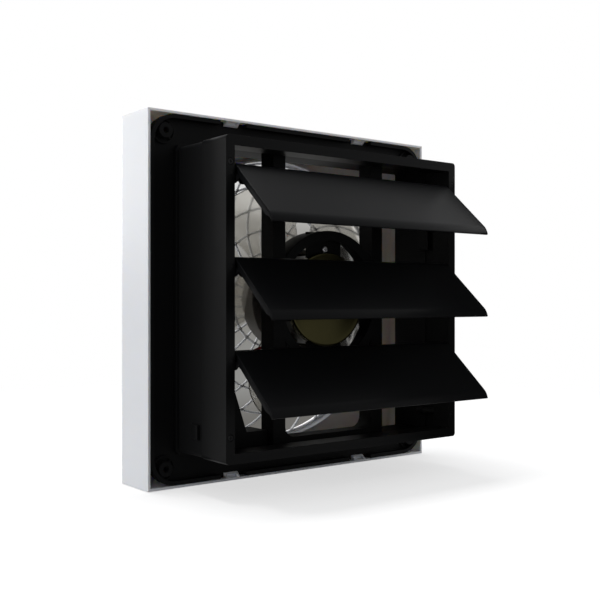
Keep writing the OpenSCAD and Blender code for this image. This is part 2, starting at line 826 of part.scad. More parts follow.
module motor_front_shield() {
    color("#8a8250") turned() {
        square_at(bearing_r, motor_front + rim_rise, shield_r - bearing_r, shield_t);
        square_at(shell_r, motor_front, shield_r - shell_r, shell_y - motor_front + shield_lap);
        square_at(bearing_r, front_bearing_y - cap_t, housing_wall, bearing_l + cap_t);
        square_at(shaft_r + shaft_hole_gap, front_bearing_y - cap_t,
            bearing_r - shaft_r - shaft_hole_gap + housing_wall / 2, cap_t);
    }
}

module motor_shell() {
    color("#9a9c9e") {
        turned() square_at(shell_r - shell_wall, shell_y, shell_wall, shell_end - shell_y);
        for (side = [0, 90, 180, 270]) rotate([0, side, 0]) difference() {
            block([0, lug_y - ear_t, -ear_w / 2], [bar_x - seat_gap, lug_y, ear_w / 2]);
            rod(0, lug_y - ear_t - overrun, 0, shell_r - shell_wall / 2, ear_t + 2 * overrun);
            rod(motor_screw_at, lug_y - ear_t - overrun, 0, motor_screw_r, ear_t + 2 * overrun);
        }
    }
}

module stator_core() {
    tooth_gap = 3;
    slot_r = winding_out - 2;
    color("#7d7f82") difference() {
        turned() square_at(rotor_r + air_gap, core_y, shell_r - shell_wall - rotor_r - air_gap, core_l);
        for (i = [0:3]) rotate([0, i * 90 + 45, 0])
            block([0, core_y - overrun, -tooth_gap / 2], [slot_r, core_y + core_l + overrun, tooth_gap / 2]);
    }
}

module stator_winding() {
    color("#a5562a") turned() {
        square_at(winding_in, core_y - winding_l, winding_out - winding_in, winding_l);
        square_at(winding_in, core_y + core_l, winding_out - winding_in, winding_l);
    }
}

module rotor() {
    color("#85878a") turned()
        square_at(shaft_r, core_y - rotor_over, rotor_r - shaft_r, core_l + 2 * rotor_over);
}

module motor_shaft() {
    color("#b9bcc0") difference() {
        union() {
            turned() square_at(0, thread_y, shaft_r, shaft_end - thread_y);
            turned() square_at(0, hub_front_y - nut_t + nut_cap, thread_r,
                thread_y - hub_front_y + nut_t);
        }
        translate([0, pin_y, -shaft_r - overrun]) cylinder(r = pin_r, h = 2 * (shaft_r + overrun));
    }
}

// A sleeve bearing from y
module bearing(y) {
    color("#9b7b45") turned()
        square_at(shaft_r + bearing_gap, y, bearing_r - shaft_r - bearing_gap, bearing_l);
}

module rear_bearing() {
    bearing(rear_bearing_y);
}

module front_bearing() {
    bearing(front_bearing_y);
}

module thrust_washers() {
    front_gap = core_y - rotor_over - front_bearing_y - bearing_l;
    rear_start = core_y + core_l + rotor_over;
    color("#d8d4c4") turned() {
        square_at(shaft_r, core_y - rotor_over - front_gap + washer_gap, washer_r - shaft_r,
            front_gap - washer_gap);
        square_at(shaft_r, rear_start, washer_r - shaft_r, rear_bearing_y - rear_start - washer_gap);
    }
}

// The hub's outer line as radius and Y, from the axis round the corner to the back
hub_line = concat([[0, hub_front_y]],
    [for (a = [0:15:90]) [hub_r - hub_draft - hub_corner * (1 - sin(a)),
        hub_front_y + hub_corner * (1 - cos(a))]], [[hub_r, hub_back]]);
hub_inner = concat([[0, hub_front_y + hub_wall]],
    [for (a = [0:15:90]) [hub_r - hub_draft - hub_wall - (hub_corner - hub_wall) * (1 - sin(a)),
        hub_front_y + hub_wall + (hub_corner - hub_wall) * (1 - cos(a))]],
    [[hub_r - hub_wall, hub_back + overrun], [0, hub_back + overrun]]);

module impeller() {
    color("#b9bcbd") difference() {
        union() {
            difference() {
                union() {
                    turned() polygon(concat(hub_line, [[0, hub_back]]));
                    for (i = [0:blade_count - 1]) rotate([0, i * 360 / blade_count, 0]) blade();
                }
                turned() polygon(hub_inner);
            }
            turned() square_at(0, hub_front_y + hub_wall / 2, boss_r, hub_l - hub_wall / 2);
            for (i = [0:hub_rib_count - 1]) rotate([0, i * 360 / hub_rib_count, 0])
                block([boss_r / 2, hub_front_y + hub_wall / 2, -hub_rib_t / 2],
                    [hub_r - hub_draft - hub_wall / 2, hub_front_y + hub_rib_l, hub_rib_t / 2]);
        }
        turned() square_at(0, thread_y, shaft_r, hub_l);
        turned() square_at(0, hub_front_y - overrun, thread_r, hub_l);
        block([-pin_r, pin_y - pin_r, -pin_half], [pin_r, hub_back + overrun, pin_half]);
    }
}

// One blade: swept forward, twisted, thin at its edges, with a round tip. Its leading edge
// faces the room, so the fan draws air out when it turns by the right hand about Y.
function blade_width(s) = let (over = max(0, (s - 1 + tip_round_share) / tip_round_share))
    (blade_width_root + (blade_width_tip - blade_width_root) * s) * (1 - tip_narrow_share * over * over);
function blade_point(s, t, side) = let (
        r = hub_r - hub_wall / 2 - hub_draft / 2 + (tip_r - hub_r + hub_wall / 2 + hub_draft / 2) * s,
        a = blade_sweep * s * s + blade_width(s) * (0.5 - t),
        half_t = blade_t / 2 * (1 - blade_thin_share * s)
            * (blade_edge_share + (1 - blade_edge_share) * sin(180 * t)),
        y = blade_front_y + blade_t / 2 + (blade_depth - blade_t) * (t + blade_camber_share * sin(180 * t)))
    [r * cos(a), y + side * half_t, r * sin(-a)];
module blade() {
    row = chord_steps + 1;
    half = row * (blade_steps + 1);
    points = [for (side = [-1, 1], i = [0:blade_steps], j = [0:chord_steps])
        blade_point(i / blade_steps, j / chord_steps, side)];
    skin = [for (i = [0:blade_steps - 1], j = [0:chord_steps - 1]) let (a = i * row + j)
        each [[a, a + 1, a + row + 1], [a, a + row + 1, a + row],
            [half + a, half + a + row + 1, half + a + 1], [half + a, half + a + row, half + a + row + 1]]];
    ends = [for (i = [0, blade_steps], j = [0:chord_steps - 1]) let (a = i * row + j, b = half + a)
        each i == 0 ? [[a, b, b + 1], [a, b + 1, a + 1]] : [[a, b + 1, b], [a, a + 1, b + 1]]];
    edges = [for (j = [0, chord_steps], i = [0:blade_steps - 1]) let (a = i * row + j, b = half + a)
        each j == 0 ? [[a, b + row, b], [a, a + row, b + row]]
            : [[a, b, b + row], [a, b + row, a + row]]];
    polyhedron(points, concat(skin, ends, edges));
}

module impeller_nut() {
    color("#c9ccd0") difference() {
        translate([0, hub_front_y - nut_t, 0]) rotate([-90, 0, 0]) cylinder(r = nut_r, h = nut_t, $fn = 6);
        rod(0, hub_front_y - nut_t + nut_cap, 0, thread_r, nut_t);
    }
}

module drive_pin() {
    color("#c9ccd0") translate([0, pin_y, -pin_half]) cylinder(r = pin_r, h = 2 * pin_half);
}

// A pan head screw along Y whose head lies beyond y
module screw_out(x, y, z, r, l, head_r, head_h) {
    rod(x, y - l, z, r, l);
    rod(x, y, z, head_r, head_h);
}

module motor_screws() {
    color("#c9ccd0") for (side = [0, 90, 180, 270]) rotate([0, side, 0])
        screw_out(motor_screw_at, lug_y + lug_t, 0, motor_screw_r, motor_screw_l, motor_head_r,
            motor_head_h);
}

module bracket_screws() {
    color("#c9ccd0") for (x = [-1, 1], z = [-1, 1]) scale([1, 1, z])
        translate([x * (bar_x + bar_w / 2), bracket_screw_y, duct_in - bracket_screw_l]) {
            cylinder(r = bracket_screw_r, h = bracket_screw_l + duct_wall);
            translate([0, 0, bracket_screw_l + duct_wall])
                cylinder(r = bracket_head_r, h = bracket_head_h);
        }
}

module shutter_screws() {
    color("#c9ccd0") for (x = [-1, 1], z = [-1, 1])
        screw_out(x * screw_x, rim_y - shutter_head_h, z * screw_z, shutter_screw_r,
            shutter_depth - shutter_head_h + shutter_boss_l, shutter_head_r, shutter_head_h);
}

// The terminal box's outline in X and Z, shrunk by d
module box_outline(d) {
    low = box_floor + d;
    polygon([[box_side - d, low], [foot_x + d, low], [foot_x + d, box_floor + box_foot_h - d],
        [slant_low_x + d, box_floor + box_foot_h - d],
        [slant_high_x + d, box_floor + box_h - d], [box_side - d, box_floor + box_h - d]]);
}

module terminal_box() {
    color(black) {
        difference() {
            out(box_y, box_depth) box_outline(0);
            out(box_y - overrun, box_depth - box_wall + overrun) box_outline(box_wall);
        }
        difference() {
            rod(cover_screw_x, box_y, cover_screw_z, cover_post_r, box_depth - box_wall / 2);
            rod(cover_screw_x, box_y - overrun, cover_screw_z, cover_screw_r, cover_screw_l + overrun);
        }
    }
}

module terminal_cover() {
    color(black) difference() {
        out(box_y - cover_t, cover_t) box_outline(0);
        rod(cover_screw_x, box_y - cover_t - overrun, cover_screw_z, cover_screw_r,
            cover_t + 2 * overrun);
        rod(grommet_x, box_y - cover_t - overrun, grommet_z, gland_r, cover_t + 2 * overrun);
    }
}

module terminal_cover_screw() {
    color("#c9ccd0") {
        rod(cover_screw_x, box_y - cover_t, cover_screw_z, cover_screw_r, cover_t + cover_screw_l);
        rod(cover_screw_x, box_y - cover_t - cover_head_h, cover_screw_z, cover_head_r, cover_head_h);
    }
}

module terminal_block() {
    color("#d9d5c8") block([block_x, box_in_y - box_wall - block_depth, block_z],
        [block_x + block_w, box_in_y - box_wall, block_z + block_h]);
}

module terminal_screws() {
    color("#c0a860") for (i = [-1, 1])
        rod(block_x + block_w / 2, box_in_y - box_wall - block_depth - terminal_h,
            block_z + block_h / 2 + i * terminal_step / 2, terminal_r, terminal_h);
}

module inlet_grommet() {
    color("#1c1c1c") translate([grommet_x, 0, grommet_z]) turned() {
        square_at(grommet_hole_r, box_y - 2 * cover_t, grommet_r - grommet_hole_r, cover_t);
        square_at(grommet_hole_r, box_y - cover_t, gland_r - grommet_hole_r, cover_t);
        square_at(grommet_hole_r, box_y, grommet_r - grommet_hole_r, cover_t / 2);
    }
}

module motor_lead_red() {
    color("#a81e22") tube(lead_route(lead_red), lead_r, lead_sides);
}

module motor_lead_olive() {
    color("#77703a") tube(lead_route(lead_olive), lead_r, lead_sides);
}

front_panel();
front_grille();
body_frame();
shutter_frame();
louvre_top();
louvre_middle();
louvre_bottom();
link_bar();
motor_bracket();
motor_rear_shield();
motor_front_shield();
motor_shell();
stator_core();
stator_winding();
rotor();
motor_shaft();
rear_bearing();
front_bearing();
thrust_washers();
impeller();
impeller_nut();
drive_pin();
motor_screws();
bracket_screws();
shutter_screws();
terminal_box();
terminal_cover();
terminal_cover_screw();
terminal_block();
terminal_screws();
inlet_grommet();
motor_lead_red();
motor_lead_olive();
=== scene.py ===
# %% [markdown]
# Window exhaust fan, dressed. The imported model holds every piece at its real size, and this
# script adds what the eye reads: moulded plastic, passivated steel, rounded edges and light.
# Everything is in metres, in the frame of the model: Y points out of the room and Z up.

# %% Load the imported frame
import math

import bmesh
import bpy
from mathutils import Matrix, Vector


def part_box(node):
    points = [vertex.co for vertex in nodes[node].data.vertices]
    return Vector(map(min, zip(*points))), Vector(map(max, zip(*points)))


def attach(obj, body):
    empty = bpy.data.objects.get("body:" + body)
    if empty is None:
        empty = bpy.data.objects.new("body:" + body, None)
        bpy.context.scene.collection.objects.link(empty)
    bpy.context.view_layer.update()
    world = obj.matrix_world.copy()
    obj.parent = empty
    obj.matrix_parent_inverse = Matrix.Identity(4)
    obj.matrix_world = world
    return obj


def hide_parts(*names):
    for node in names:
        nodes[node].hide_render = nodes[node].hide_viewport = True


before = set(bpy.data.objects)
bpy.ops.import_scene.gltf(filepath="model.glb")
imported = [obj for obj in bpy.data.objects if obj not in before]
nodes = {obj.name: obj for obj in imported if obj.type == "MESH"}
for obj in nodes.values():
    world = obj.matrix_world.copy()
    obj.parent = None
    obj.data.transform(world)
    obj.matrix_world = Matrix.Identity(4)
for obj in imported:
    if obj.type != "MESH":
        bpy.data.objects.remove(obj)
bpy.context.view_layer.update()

scene = bpy.context.scene

# %% [markdown]
# The camera stands where the photographer stood: level with the fan's axis and 38 degrees to
# the side of it. Its place and lens were worked out from the panel's corners and the duct's
# edges, which are square to each other on the real fan.

# %% Camera
CAMERA_PLACE = Vector((0.4944, 0.6390, -0.0003))
CAMERA_HEADING = Vector((-0.6115, -0.7912, 0.0))
LENS_MM = 55.19
SENSOR_MM = 36.0
NEAREST = 0.01

camera = bpy.data.objects.new("camera", bpy.data.cameras.new("camera"))
scene.collection.objects.link(camera)
camera.location = CAMERA_PLACE
camera.rotation_mode = "QUATERNION"
camera.rotation_quaternion = CAMERA_HEADING.to_track_quat("-Z", "Y")
camera.data.lens = LENS_MM
camera.data.sensor_width = SENSOR_MM
camera.data.clip_start = NEAREST
scene.camera = camera
print("camera at", tuple(round(v, 3) for v in camera.location))

# %% [markdown]
# The photograph's page is white all round, also where it is seen in a gloss or through clear
# plastic. Such rays should meet white, while a ray that only carries light should not, or the
# black fan would turn grey. The Light Path node tells the rays apart. The world and the floor
# both need its answer, so it is worked out in a function.

# %% Rays that see the page


def larger(tree, first, second):
    """The larger of two values."""
    node = tree.nodes.new("ShaderNodeMath")
    node.operation = "MAXIMUM"
    tree.links.new(first, node.inputs[0])
    tree.links.new(second, node.inputs[1])
    return node.outputs[0]


def page_ray(tree):
    """1 for a ray from the camera, off a gloss or through clear plastic, and 0 for any other."""
    path = tree.nodes.new("ShaderNodeLightPath")
    seen = larger(tree, path.outputs["Is Camera Ray"], path.outputs["Is Glossy Ray"])
    return larger(tree, seen, path.outputs["Is Transmission Ray"])


def mixed(tree, share, first, second):
    """The first shader where the share is 0, and the second where it is 1."""
    node = tree.nodes.new("ShaderNodeMixShader")
    tree.links.new(share, node.inputs[0])
    tree.links.new(first, node.inputs[1])
    tree.links.new(second, node.inputs[2])
    return node.outputs[0]


print("ray helpers ready")

# %% [markdown]
# The world is the white page for the rays that see it, and an even, slightly cool fill of half
# that strength for the others.

# %% World
FILL = 0.5
FILL_COLOR = (0.97, 0.98, 1, 1)
PAGE_COLOR = (1, 1, 1, 1)


def background(tree, color, strength):
    node = tree.nodes.new("ShaderNodeBackground")
    node.inputs["Color"].default_value = color
    node.inputs["Strength"].default_value = strength
    return node.outputs[0]


scene.view_settings.view_transform = "Standard"
scene.world = bpy.data.worlds.new("studio")
scene.world.use_nodes = True
tree = scene.world.node_tree
tree.nodes.clear()
fill = background(tree, FILL_COLOR, FILL)
page = background(tree, PAGE_COLOR, 1)
out = tree.nodes.new("ShaderNodeOutputWorld")
tree.links.new(mixed(tree, page_ray(tree), fill, page), out.inputs["Surface"])
print("world:", len(tree.nodes), "nodes, fill", FILL)

# %% [markdown]
# A product photograph of a dark object is lit with big soft lamps, which lay long even lights
# on its faces. One hangs above, so that the upper faces part from the lower ones. One stands
# at each side, and a fourth lights the side that faces the room.

# %% Lamps


def lamp(name, place, target, size, power):
    """A soft rectangular lamp at a place, turned to its target."""
    light = bpy.data.lights.new(name, "AREA")
    light.shape = "RECTANGLE"
    light.size, light.size_y = size
    light.energy = power
    thing = bpy.data.objects.new(name, light)
    scene.collection.objects.link(thing)
    thing.location = place
    thing.rotation_mode = "QUATERNION"
    thing.rotation_quaternion = (Vector(target) - Vector(place)).to_track_quat("-Z", "Y")


FAN_MIDDLE = (0, 0, 0)
lamp("top", place=(0.05, -0.11, 1.35), target=(0.05, -0.11, 0), size=(0.6, 0.24), power=11)
lamp("left", place=(1.45, 0.06, 0.0), target=FAN_MIDDLE, size=(0.24, 0.7), power=8.4)
lamp("right", place=(-1.45, 0.2, 0.35), target=FAN_MIDDLE, size=(0.9, 0.9), power=4)
lamp("room", place=(0.45, -1.5, 0.6), target=FAN_MIDDLE, size=(1.0, 1.0), power=9)

# %% [markdown]
# Every finish is a small node tree on the one shader. A real surface is never even: its tone
# and its gloss change slowly from place to place. A picture could give that, but noise in
# Object coordinates needs no picture, fits every piece and has the same scale on all of them.
# These helpers turn one noise into a tone and a gloss.

# %% Tone and gloss from noise
TONE_LOW = 0.3
TONE_HIGH = 0.7
SMOOTHEST = 0.02


def noise(tree, place, scale, detail):
    node = tree.nodes.new("ShaderNodeTexNoise")
    node.inputs["Scale"].default_value = scale
    node.inputs["Detail"].default_value = detail
    tree.links.new(place, node.inputs["Vector"])
    return node.outputs["Fac"]


def drifting_tone(tree, drift, color, tone):
    """The colour, darker and lighter by the share tone as the noise drifts."""
    ramp = tree.nodes.new("ShaderNodeValToRGB")
    stops = ramp.color_ramp.elements
    stops[0].position = TONE_LOW
    stops[1].position = TONE_HIGH
    stops[0].color = (*[c * (1 - tone) for c in color], 1)
    stops[1].color = (*[min(1, c * (1 + tone)) for c in color], 1)
    tree.links.new(drift, ramp.inputs["Fac"])
    return ramp.outputs["Color"]


def drifting_gloss(tree, drift, roughness, spread):
    """The roughness, up and down by the spread as the noise drifts."""
    node = tree.nodes.new("ShaderNodeMapRange")
    node.inputs["To Min"].default_value = max(SMOOTHEST, roughness - spread)
    node.inputs["To Max"].default_value = min(1, roughness + spread)
    tree.links.new(drift, node.inputs["Value"])
    return node.outputs[0]


print("tone and gloss helpers ready")

# %% [markdown]
# A mould is spark-eroded, which leaves a grain much finer than a millimetre. Modelled, it
# would cost millions of faces, so a second noise bends the light instead. The edges between
# faces are shaded round in the same step, because a moulded edge is never quite sharp.

# %% Relief from a finer noise
EDGE_R = 0.0004
EDGE_SAMPLES = 4
GRAIN_HEIGHT = 0.0002


def grained(tree, grain, bump):
    """A surface whose edges are shaded round and whose grain stands out by the bump."""
    round_edge = tree.nodes.new("ShaderNodeBevel")
    round_edge.samples = EDGE_SAMPLES
    round_edge.inputs["Radius"].default_value = EDGE_R
    relief = tree.nodes.new("ShaderNodeBump")
    relief.inputs["Strength"].default_value = bump
    relief.inputs["Distance"].default_value = GRAIN_HEIGHT
    tree.links.new(grain, relief.inputs["Height"])
    tree.links.new(round_edge.outputs[0], relief.inputs["Normal"])
    return relief.outputs[0]


print("relief helper ready")

# %% [markdown]
# One function puts the parts together, so that each finish says only how it differs. Moulded
# plastic is its plain case. White plastic also lets light in a little way and glows with it,
# and clear plastic lets light through.

# %% A finish in one call
DRIFT_SCALE = 14.0
DRIFT_DETAIL = 3.0
GRAIN_DETAIL = 2.0
GLOW_DEPTH = 0.004


def finish(name, color, roughness, spread=0.06, grain=2600.0, bump=0.08, tone=0.05, metallic=0.0,
           specular=0.5, stretch=(1, 1, 1), transmission=0.0, glow=0.0, bleed=(1, 1, 1)):
    """A procedural finish: its tone and gloss drift over the piece, and its grain is a bump."""
    material = bpy.data.materials.new(name)
    material.use_nodes = True
    tree = material.node_tree
    shader = tree.nodes["Principled BSDF"]
    place = tree.nodes.new("ShaderNodeTexCoord")
    scaled = tree.nodes.new("ShaderNodeMapping")
    scaled.inputs["Scale"].default_value = stretch
    tree.links.new(place.outputs["Object"], scaled.inputs["Vector"])
    drift = noise(tree, scaled.outputs[0], DRIFT_SCALE, DRIFT_DETAIL)
    fine = noise(tree, scaled.outputs[0], grain, GRAIN_DETAIL)
    tree.links.new(drifting_tone(tree, drift, color, tone), shader.inputs["Base Color"])
    tree.links.new(drifting_gloss(tree, drift, roughness, spread), shader.inputs["Roughness"])
    tree.links.new(grained(tree, fine, bump), shader.inputs["Normal"])
    shader.inputs["Metallic"].default_value = metallic
    shader.inputs["Specular IOR Level"].default_value = specular
    shader.inputs["Transmission Weight"].default_value = transmission
    shader.inputs["Subsurface Weight"].default_value = glow
    shader.inputs["Subsurface Radius"].default_value = bleed
    shader.inputs["Subsurface Scale"].default_value = GLOW_DEPTH
    return material


def dress(material, *names):
    """Gives the named nodes this finish alone."""
    for name in names:
        slots = nodes[name].data.materials
        slots.clear()
        slots.append(material)
    print(material.name, "on", ", ".join(names))


print("finish ready")

# %% [markdown]
# The panel and the guard are white moulded plastic. The guard's bars are so thin that light
# comes out of them again on all sides, so their plastic glows more. The frames, the bracket
# and the louvres are black. A black as deep as the photograph's needs a very dark colour and a
# much weaker gloss than real plastic has, because a pale room lies in every gloss.

# %% White and black plastic
WHITE = (0.80, 0.812, 0.84)
white_plastic = finish("white_plastic", WHITE, 0.34, tone=0.012, bump=0.04, glow=0.3,
                       bleed=(1.0, 0.8, 0.6))
grille_plastic = finish("grille_plastic", WHITE, 0.34, tone=0.012, bump=0.04, glow=0.8)
black_plastic = finish("black_plastic", (0.0036, 0.0037, 0.0039), 0.52, specular=0.045, bump=0.1)
shutter_plastic = finish("shutter_plastic", (0.0036, 0.0037, 0.0039), 0.4, specular=0.05, bump=0.1)
louvre_plastic = finish("louvre_plastic", (0.0038, 0.0040, 0.0044), 0.38, specular=0.042, bump=0.08)

dress(white_plastic, "front_panel")
dress(black_plastic, "body_frame", "motor_bracket", "terminal_box", "terminal_cover", "link_bar")
dress(shutter_plastic, "shutter_frame")

# %% [markdown]
# The impeller is smoky clear plastic. Its thin blades let most of the light through, and the
# thick hub looks nearly solid. The hub gets a darker and duller mix of the same finish.

# %% Smoky clear plastic
smoke_plastic = finish("smoke_plastic", (0.80, 0.78, 0.73), 0.14, spread=0.04, bump=0.02,
                       transmission=0.88)
smoke_hub = finish("smoke_hub", (0.27, 0.25, 0.22), 0.5, bump=0.03, transmission=0.35)
print("smoky finishes:", smoke_plastic.name, smoke_hub.name)

# %% [markdown]
# Five finishes are steel. The motor's shields are passivated, which leaves an olive tint that changes
# from place to place, and its shell is painted. The shields' olive is painted much darker than passivated
# steel, as painted shade. The stator and the rotor are stacks of thin sheets: a grain that is stretched
# along X and Z and pressed together along Y draws the edges of the sheets. The shaft and most fasteners
# are bright steel, painted darker than bare steel as painted shade, and the frame's are black.

# %% Steel
# Painted shade: the olive is far darker than passivated steel.
olive_steel_painted_shade = finish("olive_steel_painted_shade", (0.026, 0.0235, 0.0098), 0.2, spread=0.04, metallic=1.0,
                     tone=0.15, grain=900, bump=0.04)
black_paint = finish("black_paint", (0.004, 0.004, 0.004), 0.35, specular=0.1)
core_steel = finish("core_steel", (0.2, 0.2, 0.21), 0.5, metallic=0.9, grain=400, bump=0.3,
                    stretch=(0.01, 4, 0.01))
# Painted shade: this steel is darker than bare bright steel.
bright_steel = finish("bright_steel", (0.32, 0.32, 0.33), 0.38, metallic=1.0, tone=0.12)
black_steel = finish("black_steel", (0.004, 0.004, 0.0045), 0.4, specular=0.1)

dress(olive_steel_painted_shade, "motor_front_shield")
dress(black_paint, "motor_shell")
dress(core_steel, "stator_core", "rotor")
dress(bright_steel, "motor_shaft", "impeller_nut", "drive_pin")

# %% [markdown]
# The small inner pieces have finishes of their own: enamelled copper wire, sintered bronze
# bearings, a cream terminal block with brass screws, pale washers, rubber, and two colours of
# insulation for the leads.

# %% Copper, bronze, brass and small plastics
copper_wire = finish("copper_wire", (0.5, 0.18, 0.06), 0.3, metallic=0.9, grain=700, bump=0.5)
bronze = finish("bronze", (0.36, 0.24, 0.11), 0.5, metallic=0.9, tone=0.15)
washer_plastic = finish("washer_plastic", (0.66, 0.63, 0.54), 0.5)
cream_plastic = finish("cream_plastic", (0.62, 0.57, 0.43), 0.5)
brass = finish("brass", (0.6, 0.42, 0.14), 0.3, metallic=1.0)
black_rubber = finish("black_rubber", (0.012, 0.012, 0.012), 0.7, specular=0.2)
red_insulation = finish("red_insulation", (0.33, 0.008, 0.01), 0.4)
olive_insulation = finish("olive_insulation", (0.13, 0.11, 0.03), 0.4)

dress(copper_wire, "stator_winding")
dress(bronze, "rear_bearing", "front_bearing")
dress(washer_plastic, "thrust_washers")
dress(cream_plastic, "terminal_block")
dress(brass, "terminal_screws")
dress(black_rubber, "inlet_grommet")

# %% [markdown]
# The square moulded edges of the frames catch a thin line of light on the real fan. The finish
# only shades an edge round, and its outline stays sharp, so the large nodes that stay get a
# small live bevel as well. Their triangles are loose, so a live weld joins the vertices first.

# %% Soft edges
WELD_GAP = 0.00001
SHARP = math.radians(50)


def soft_edges(width, *names):
    """A live weld and a live bevel of this width on the named nodes."""
    for name in names:
        thing = nodes[name]
        weld = thing.modifiers.new("weld", "WELD")
        weld.merge_threshold = WELD_GAP
        bevel = thing.modifiers.new("bevel", "BEVEL")
        bevel.width = width
        bevel.segments = 2
        bevel.limit_method = "ANGLE"
        bevel.angle_limit = SHARP
        bevel.use_clamp_overlap = True
    print("edges of", round(width * 1000, 1), "mm on", ", ".join(names))


soft_edges(0.0007, "shutter_frame")
soft_edges(0.0008, "body_frame")
soft_edges(0.0004, "front_panel", "motor_bracket", "link_bar")
soft_edges(0.0003, "terminal_box", "terminal_cover", "inlet_grommet")

# %% [markdown]
# From here on the pieces that need more than a finish are modelled. A few helpers keep the
# steps short. An operator acts on all that is selected, so each step starts from a clean
# selection. Vertices are picked by their place, because their numbers change as a mesh grows.

# %% Selecting


def clear_selection():
    """Leaves edit mode and deselects everything."""
    if bpy.context.object and bpy.context.object.mode != "OBJECT":
        bpy.ops.object.mode_set(mode="OBJECT")
    bpy.ops.object.select_all(action="DESELECT")


def select_only(thing):
    clear_selection()
    bpy.context.view_layer.objects.active = thing
    thing.select_set(True)


def start_edit(thing):
    select_only(thing)
    bpy.ops.object.mode_set(mode="EDIT")
    bpy.ops.mesh.select_mode(type="VERT")


def pick(thing, test):
    """Selects the vertices whose place passes the test, in edit mode."""
    mesh = bmesh.from_edit_mesh(thing.data)
    for v in mesh.verts:
        v.select = bool(test(v.co))
    mesh.select_flush(True)
    mesh.select_flush(False)
    bmesh.update_edit_mesh(thing.data)


def settle(thing):
    """Back to object mode, with the object's place and turn put into its vertices."""
    select_only(thing)
    bpy.ops.object.transform_apply(location=True, rotation=True, scale=True)


print("selection helpers ready")

# %% [markdown]
# A modifier is added and applied at once, so that the next step finds real faces. What repeats
# is modelled once and copied. The copies are then joined to one piece with one finish.

# %% Modifiers, copies and joins


def modify(thing, kind, **settings):
    select_only(thing)
    modifier = thing.modifiers.new(kind.lower(), kind)
    for key, value in settings.items():
        setattr(modifier, key, value)
    bpy.ops.object.modifier_apply(modifier=modifier.name)


def soften(thing, angle=35):
    """Shades the faces smooth where they meet at less than the angle."""
    select_only(thing)
    bpy.ops.object.shade_smooth_by_angle(angle=math.radians(angle))


def turned_copy(thing, turn=(0, 0, 0), place=(0, 0, 0)):
    """A copy with its own mesh, turned and then moved."""
    select_only(thing)
    bpy.ops.object.duplicate()
    twin = bpy.context.object
    twin.rotation_euler = turn
    twin.location = place
    bpy.ops.object.transform_apply(location=True, rotation=True, scale=True)
    return twin


def joined(name, things, material):
    clear_selection()
    for thing in things:
        thing.select_set(True)
    bpy.context.view_layer.objects.active = things[0]
    if len(things) > 1:
        bpy.ops.object.join()
    whole = bpy.context.view_layer.objects.active
    whole.name = whole.data.name = name
    whole.data.materials.clear()
    whole.data.materials.append(material)
    return whole


print("modifier and copy helpers ready")

# %% [markdown]
# Many shapes start as a line. A small plane is merged to one vertex, which is extruded from
# point to point, as by hand. A closed line becomes a face that can be drawn out. A line of
# (radius, Y) points is spun round the fan's axis, as on a lathe.

# %% Lines, and the lathe
SEED = 0.001
SAME_POINT = 0.00002


def first_point(place):
    """A new mesh of one vertex at the place, left in edit mode."""
    bpy.ops.mesh.primitive_plane_add(size=SEED, location=(0, 0, 0))
    thing = bpy.context.object
    start_edit(thing)
    bpy.ops.mesh.select_all(action="SELECT")
    bpy.ops.mesh.merge(type="CENTER")
    bpy.ops.transform.translate(value=place)
    return thing


def draw_line(points):
    """A new mesh with edges from point to point, left in edit mode with all of it selected."""
    thing = first_point(points[0])
    for last, point in zip(points, points[1:]):
        step = tuple(b - a for a, b in zip(last, point))
        bpy.ops.mesh.extrude_vertices_move(TRANSFORM_OT_translate={"value": step})
    bpy.ops.mesh.select_all(action="SELECT")
    return thing


def lathe(name, profile, steps=96, closed=False):
    """Spins a line of (radius, Y) points round the fan's axis."""
    points = profile + ([profile[0]] if closed else [])
    thing = draw_line([(radius, y, 0) for radius, y in points])
    thing.name = name
    bpy.ops.mesh.spin(steps=steps, angle=math.tau, center=(0, 0, 0), axis=(0, 1, 0))
    bpy.ops.mesh.select_all(action="SELECT")
    bpy.ops.mesh.remove_doubles(threshold=SAME_POINT)
    bpy.ops.mesh.normals_make_consistent(inside=False)
    settle(thing)
    return thing


print("line helpers ready")

# %% [markdown]
# The guard is one moulding: five rings, a middle disc and 26 bars that sweep from the disc to
# the outer ring. On the real fan every edge of it is round, so that it leaves the mould and
# doesn't whistle. A torus would do for a round wire, but these rings are rectangles in
# section with round corners, so each is spun from such an outline. The disc has a groove near
# its edge.

# %% Guard's rings and disc
grille_low, grille_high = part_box("front_grille")
front = grille_low.y
back = grille_high.y
GRILLE_R = grille_high.x
DISC_R = 0.0247
RING_COUNT = 5
RING_STEP = 0.02
RING_WIDTH = 0.002
RING_CORNER = 0.0007
RING_STEPS = 128


def rounded_ring(radius):
    low = radius - RING_WIDTH
    cut = RING_CORNER
    trim = RING_CORNER / 3
    return lathe("ring", [
        (low + cut, front), (radius - cut, front), (radius - trim, front + trim),
        (radius, front + cut), (radius, back - cut), (radius - trim, back - trim),
        (radius - cut, back), (low + cut, back), (low + trim, back - trim),
        (low, back - cut), (low, front + cut), (low + trim, front + trim)],
        steps=RING_STEPS, closed=True)


rings = [rounded_ring(GRILLE_R - i * RING_STEP) for i in range(RING_COUNT)]
disc_groove = [(0.019, front), (0.0195, front + 0.0004), (0.0205, front + 0.0004), (0.021, front)]
disc_edge = [(0.0240, front), (DISC_R, front + 0.0008), (DISC_R, back - 0.0006), (0.0242, back)]
disc = lathe("disc", [(0, front)] + disc_groove + disc_edge + [(0, back)])
print("guard:", len(rings), "rings and a disc of", len(disc.data.polygons), "faces")

# %% [markdown]
# A bar sweeps outward: the further from the disc, the more it is turned round the axis. This
# function gives its middle line. It starts a little inside the disc and ends inside the outer
# ring, so that the pieces of the moulding run into each other.

# %% Bar's line
BAR_OVERLAP = 0.001
BAR_SWEEP = math.radians(35)
bar_length = GRILLE_R - RING_WIDTH / 2 - DISC_R + BAR_OVERLAP


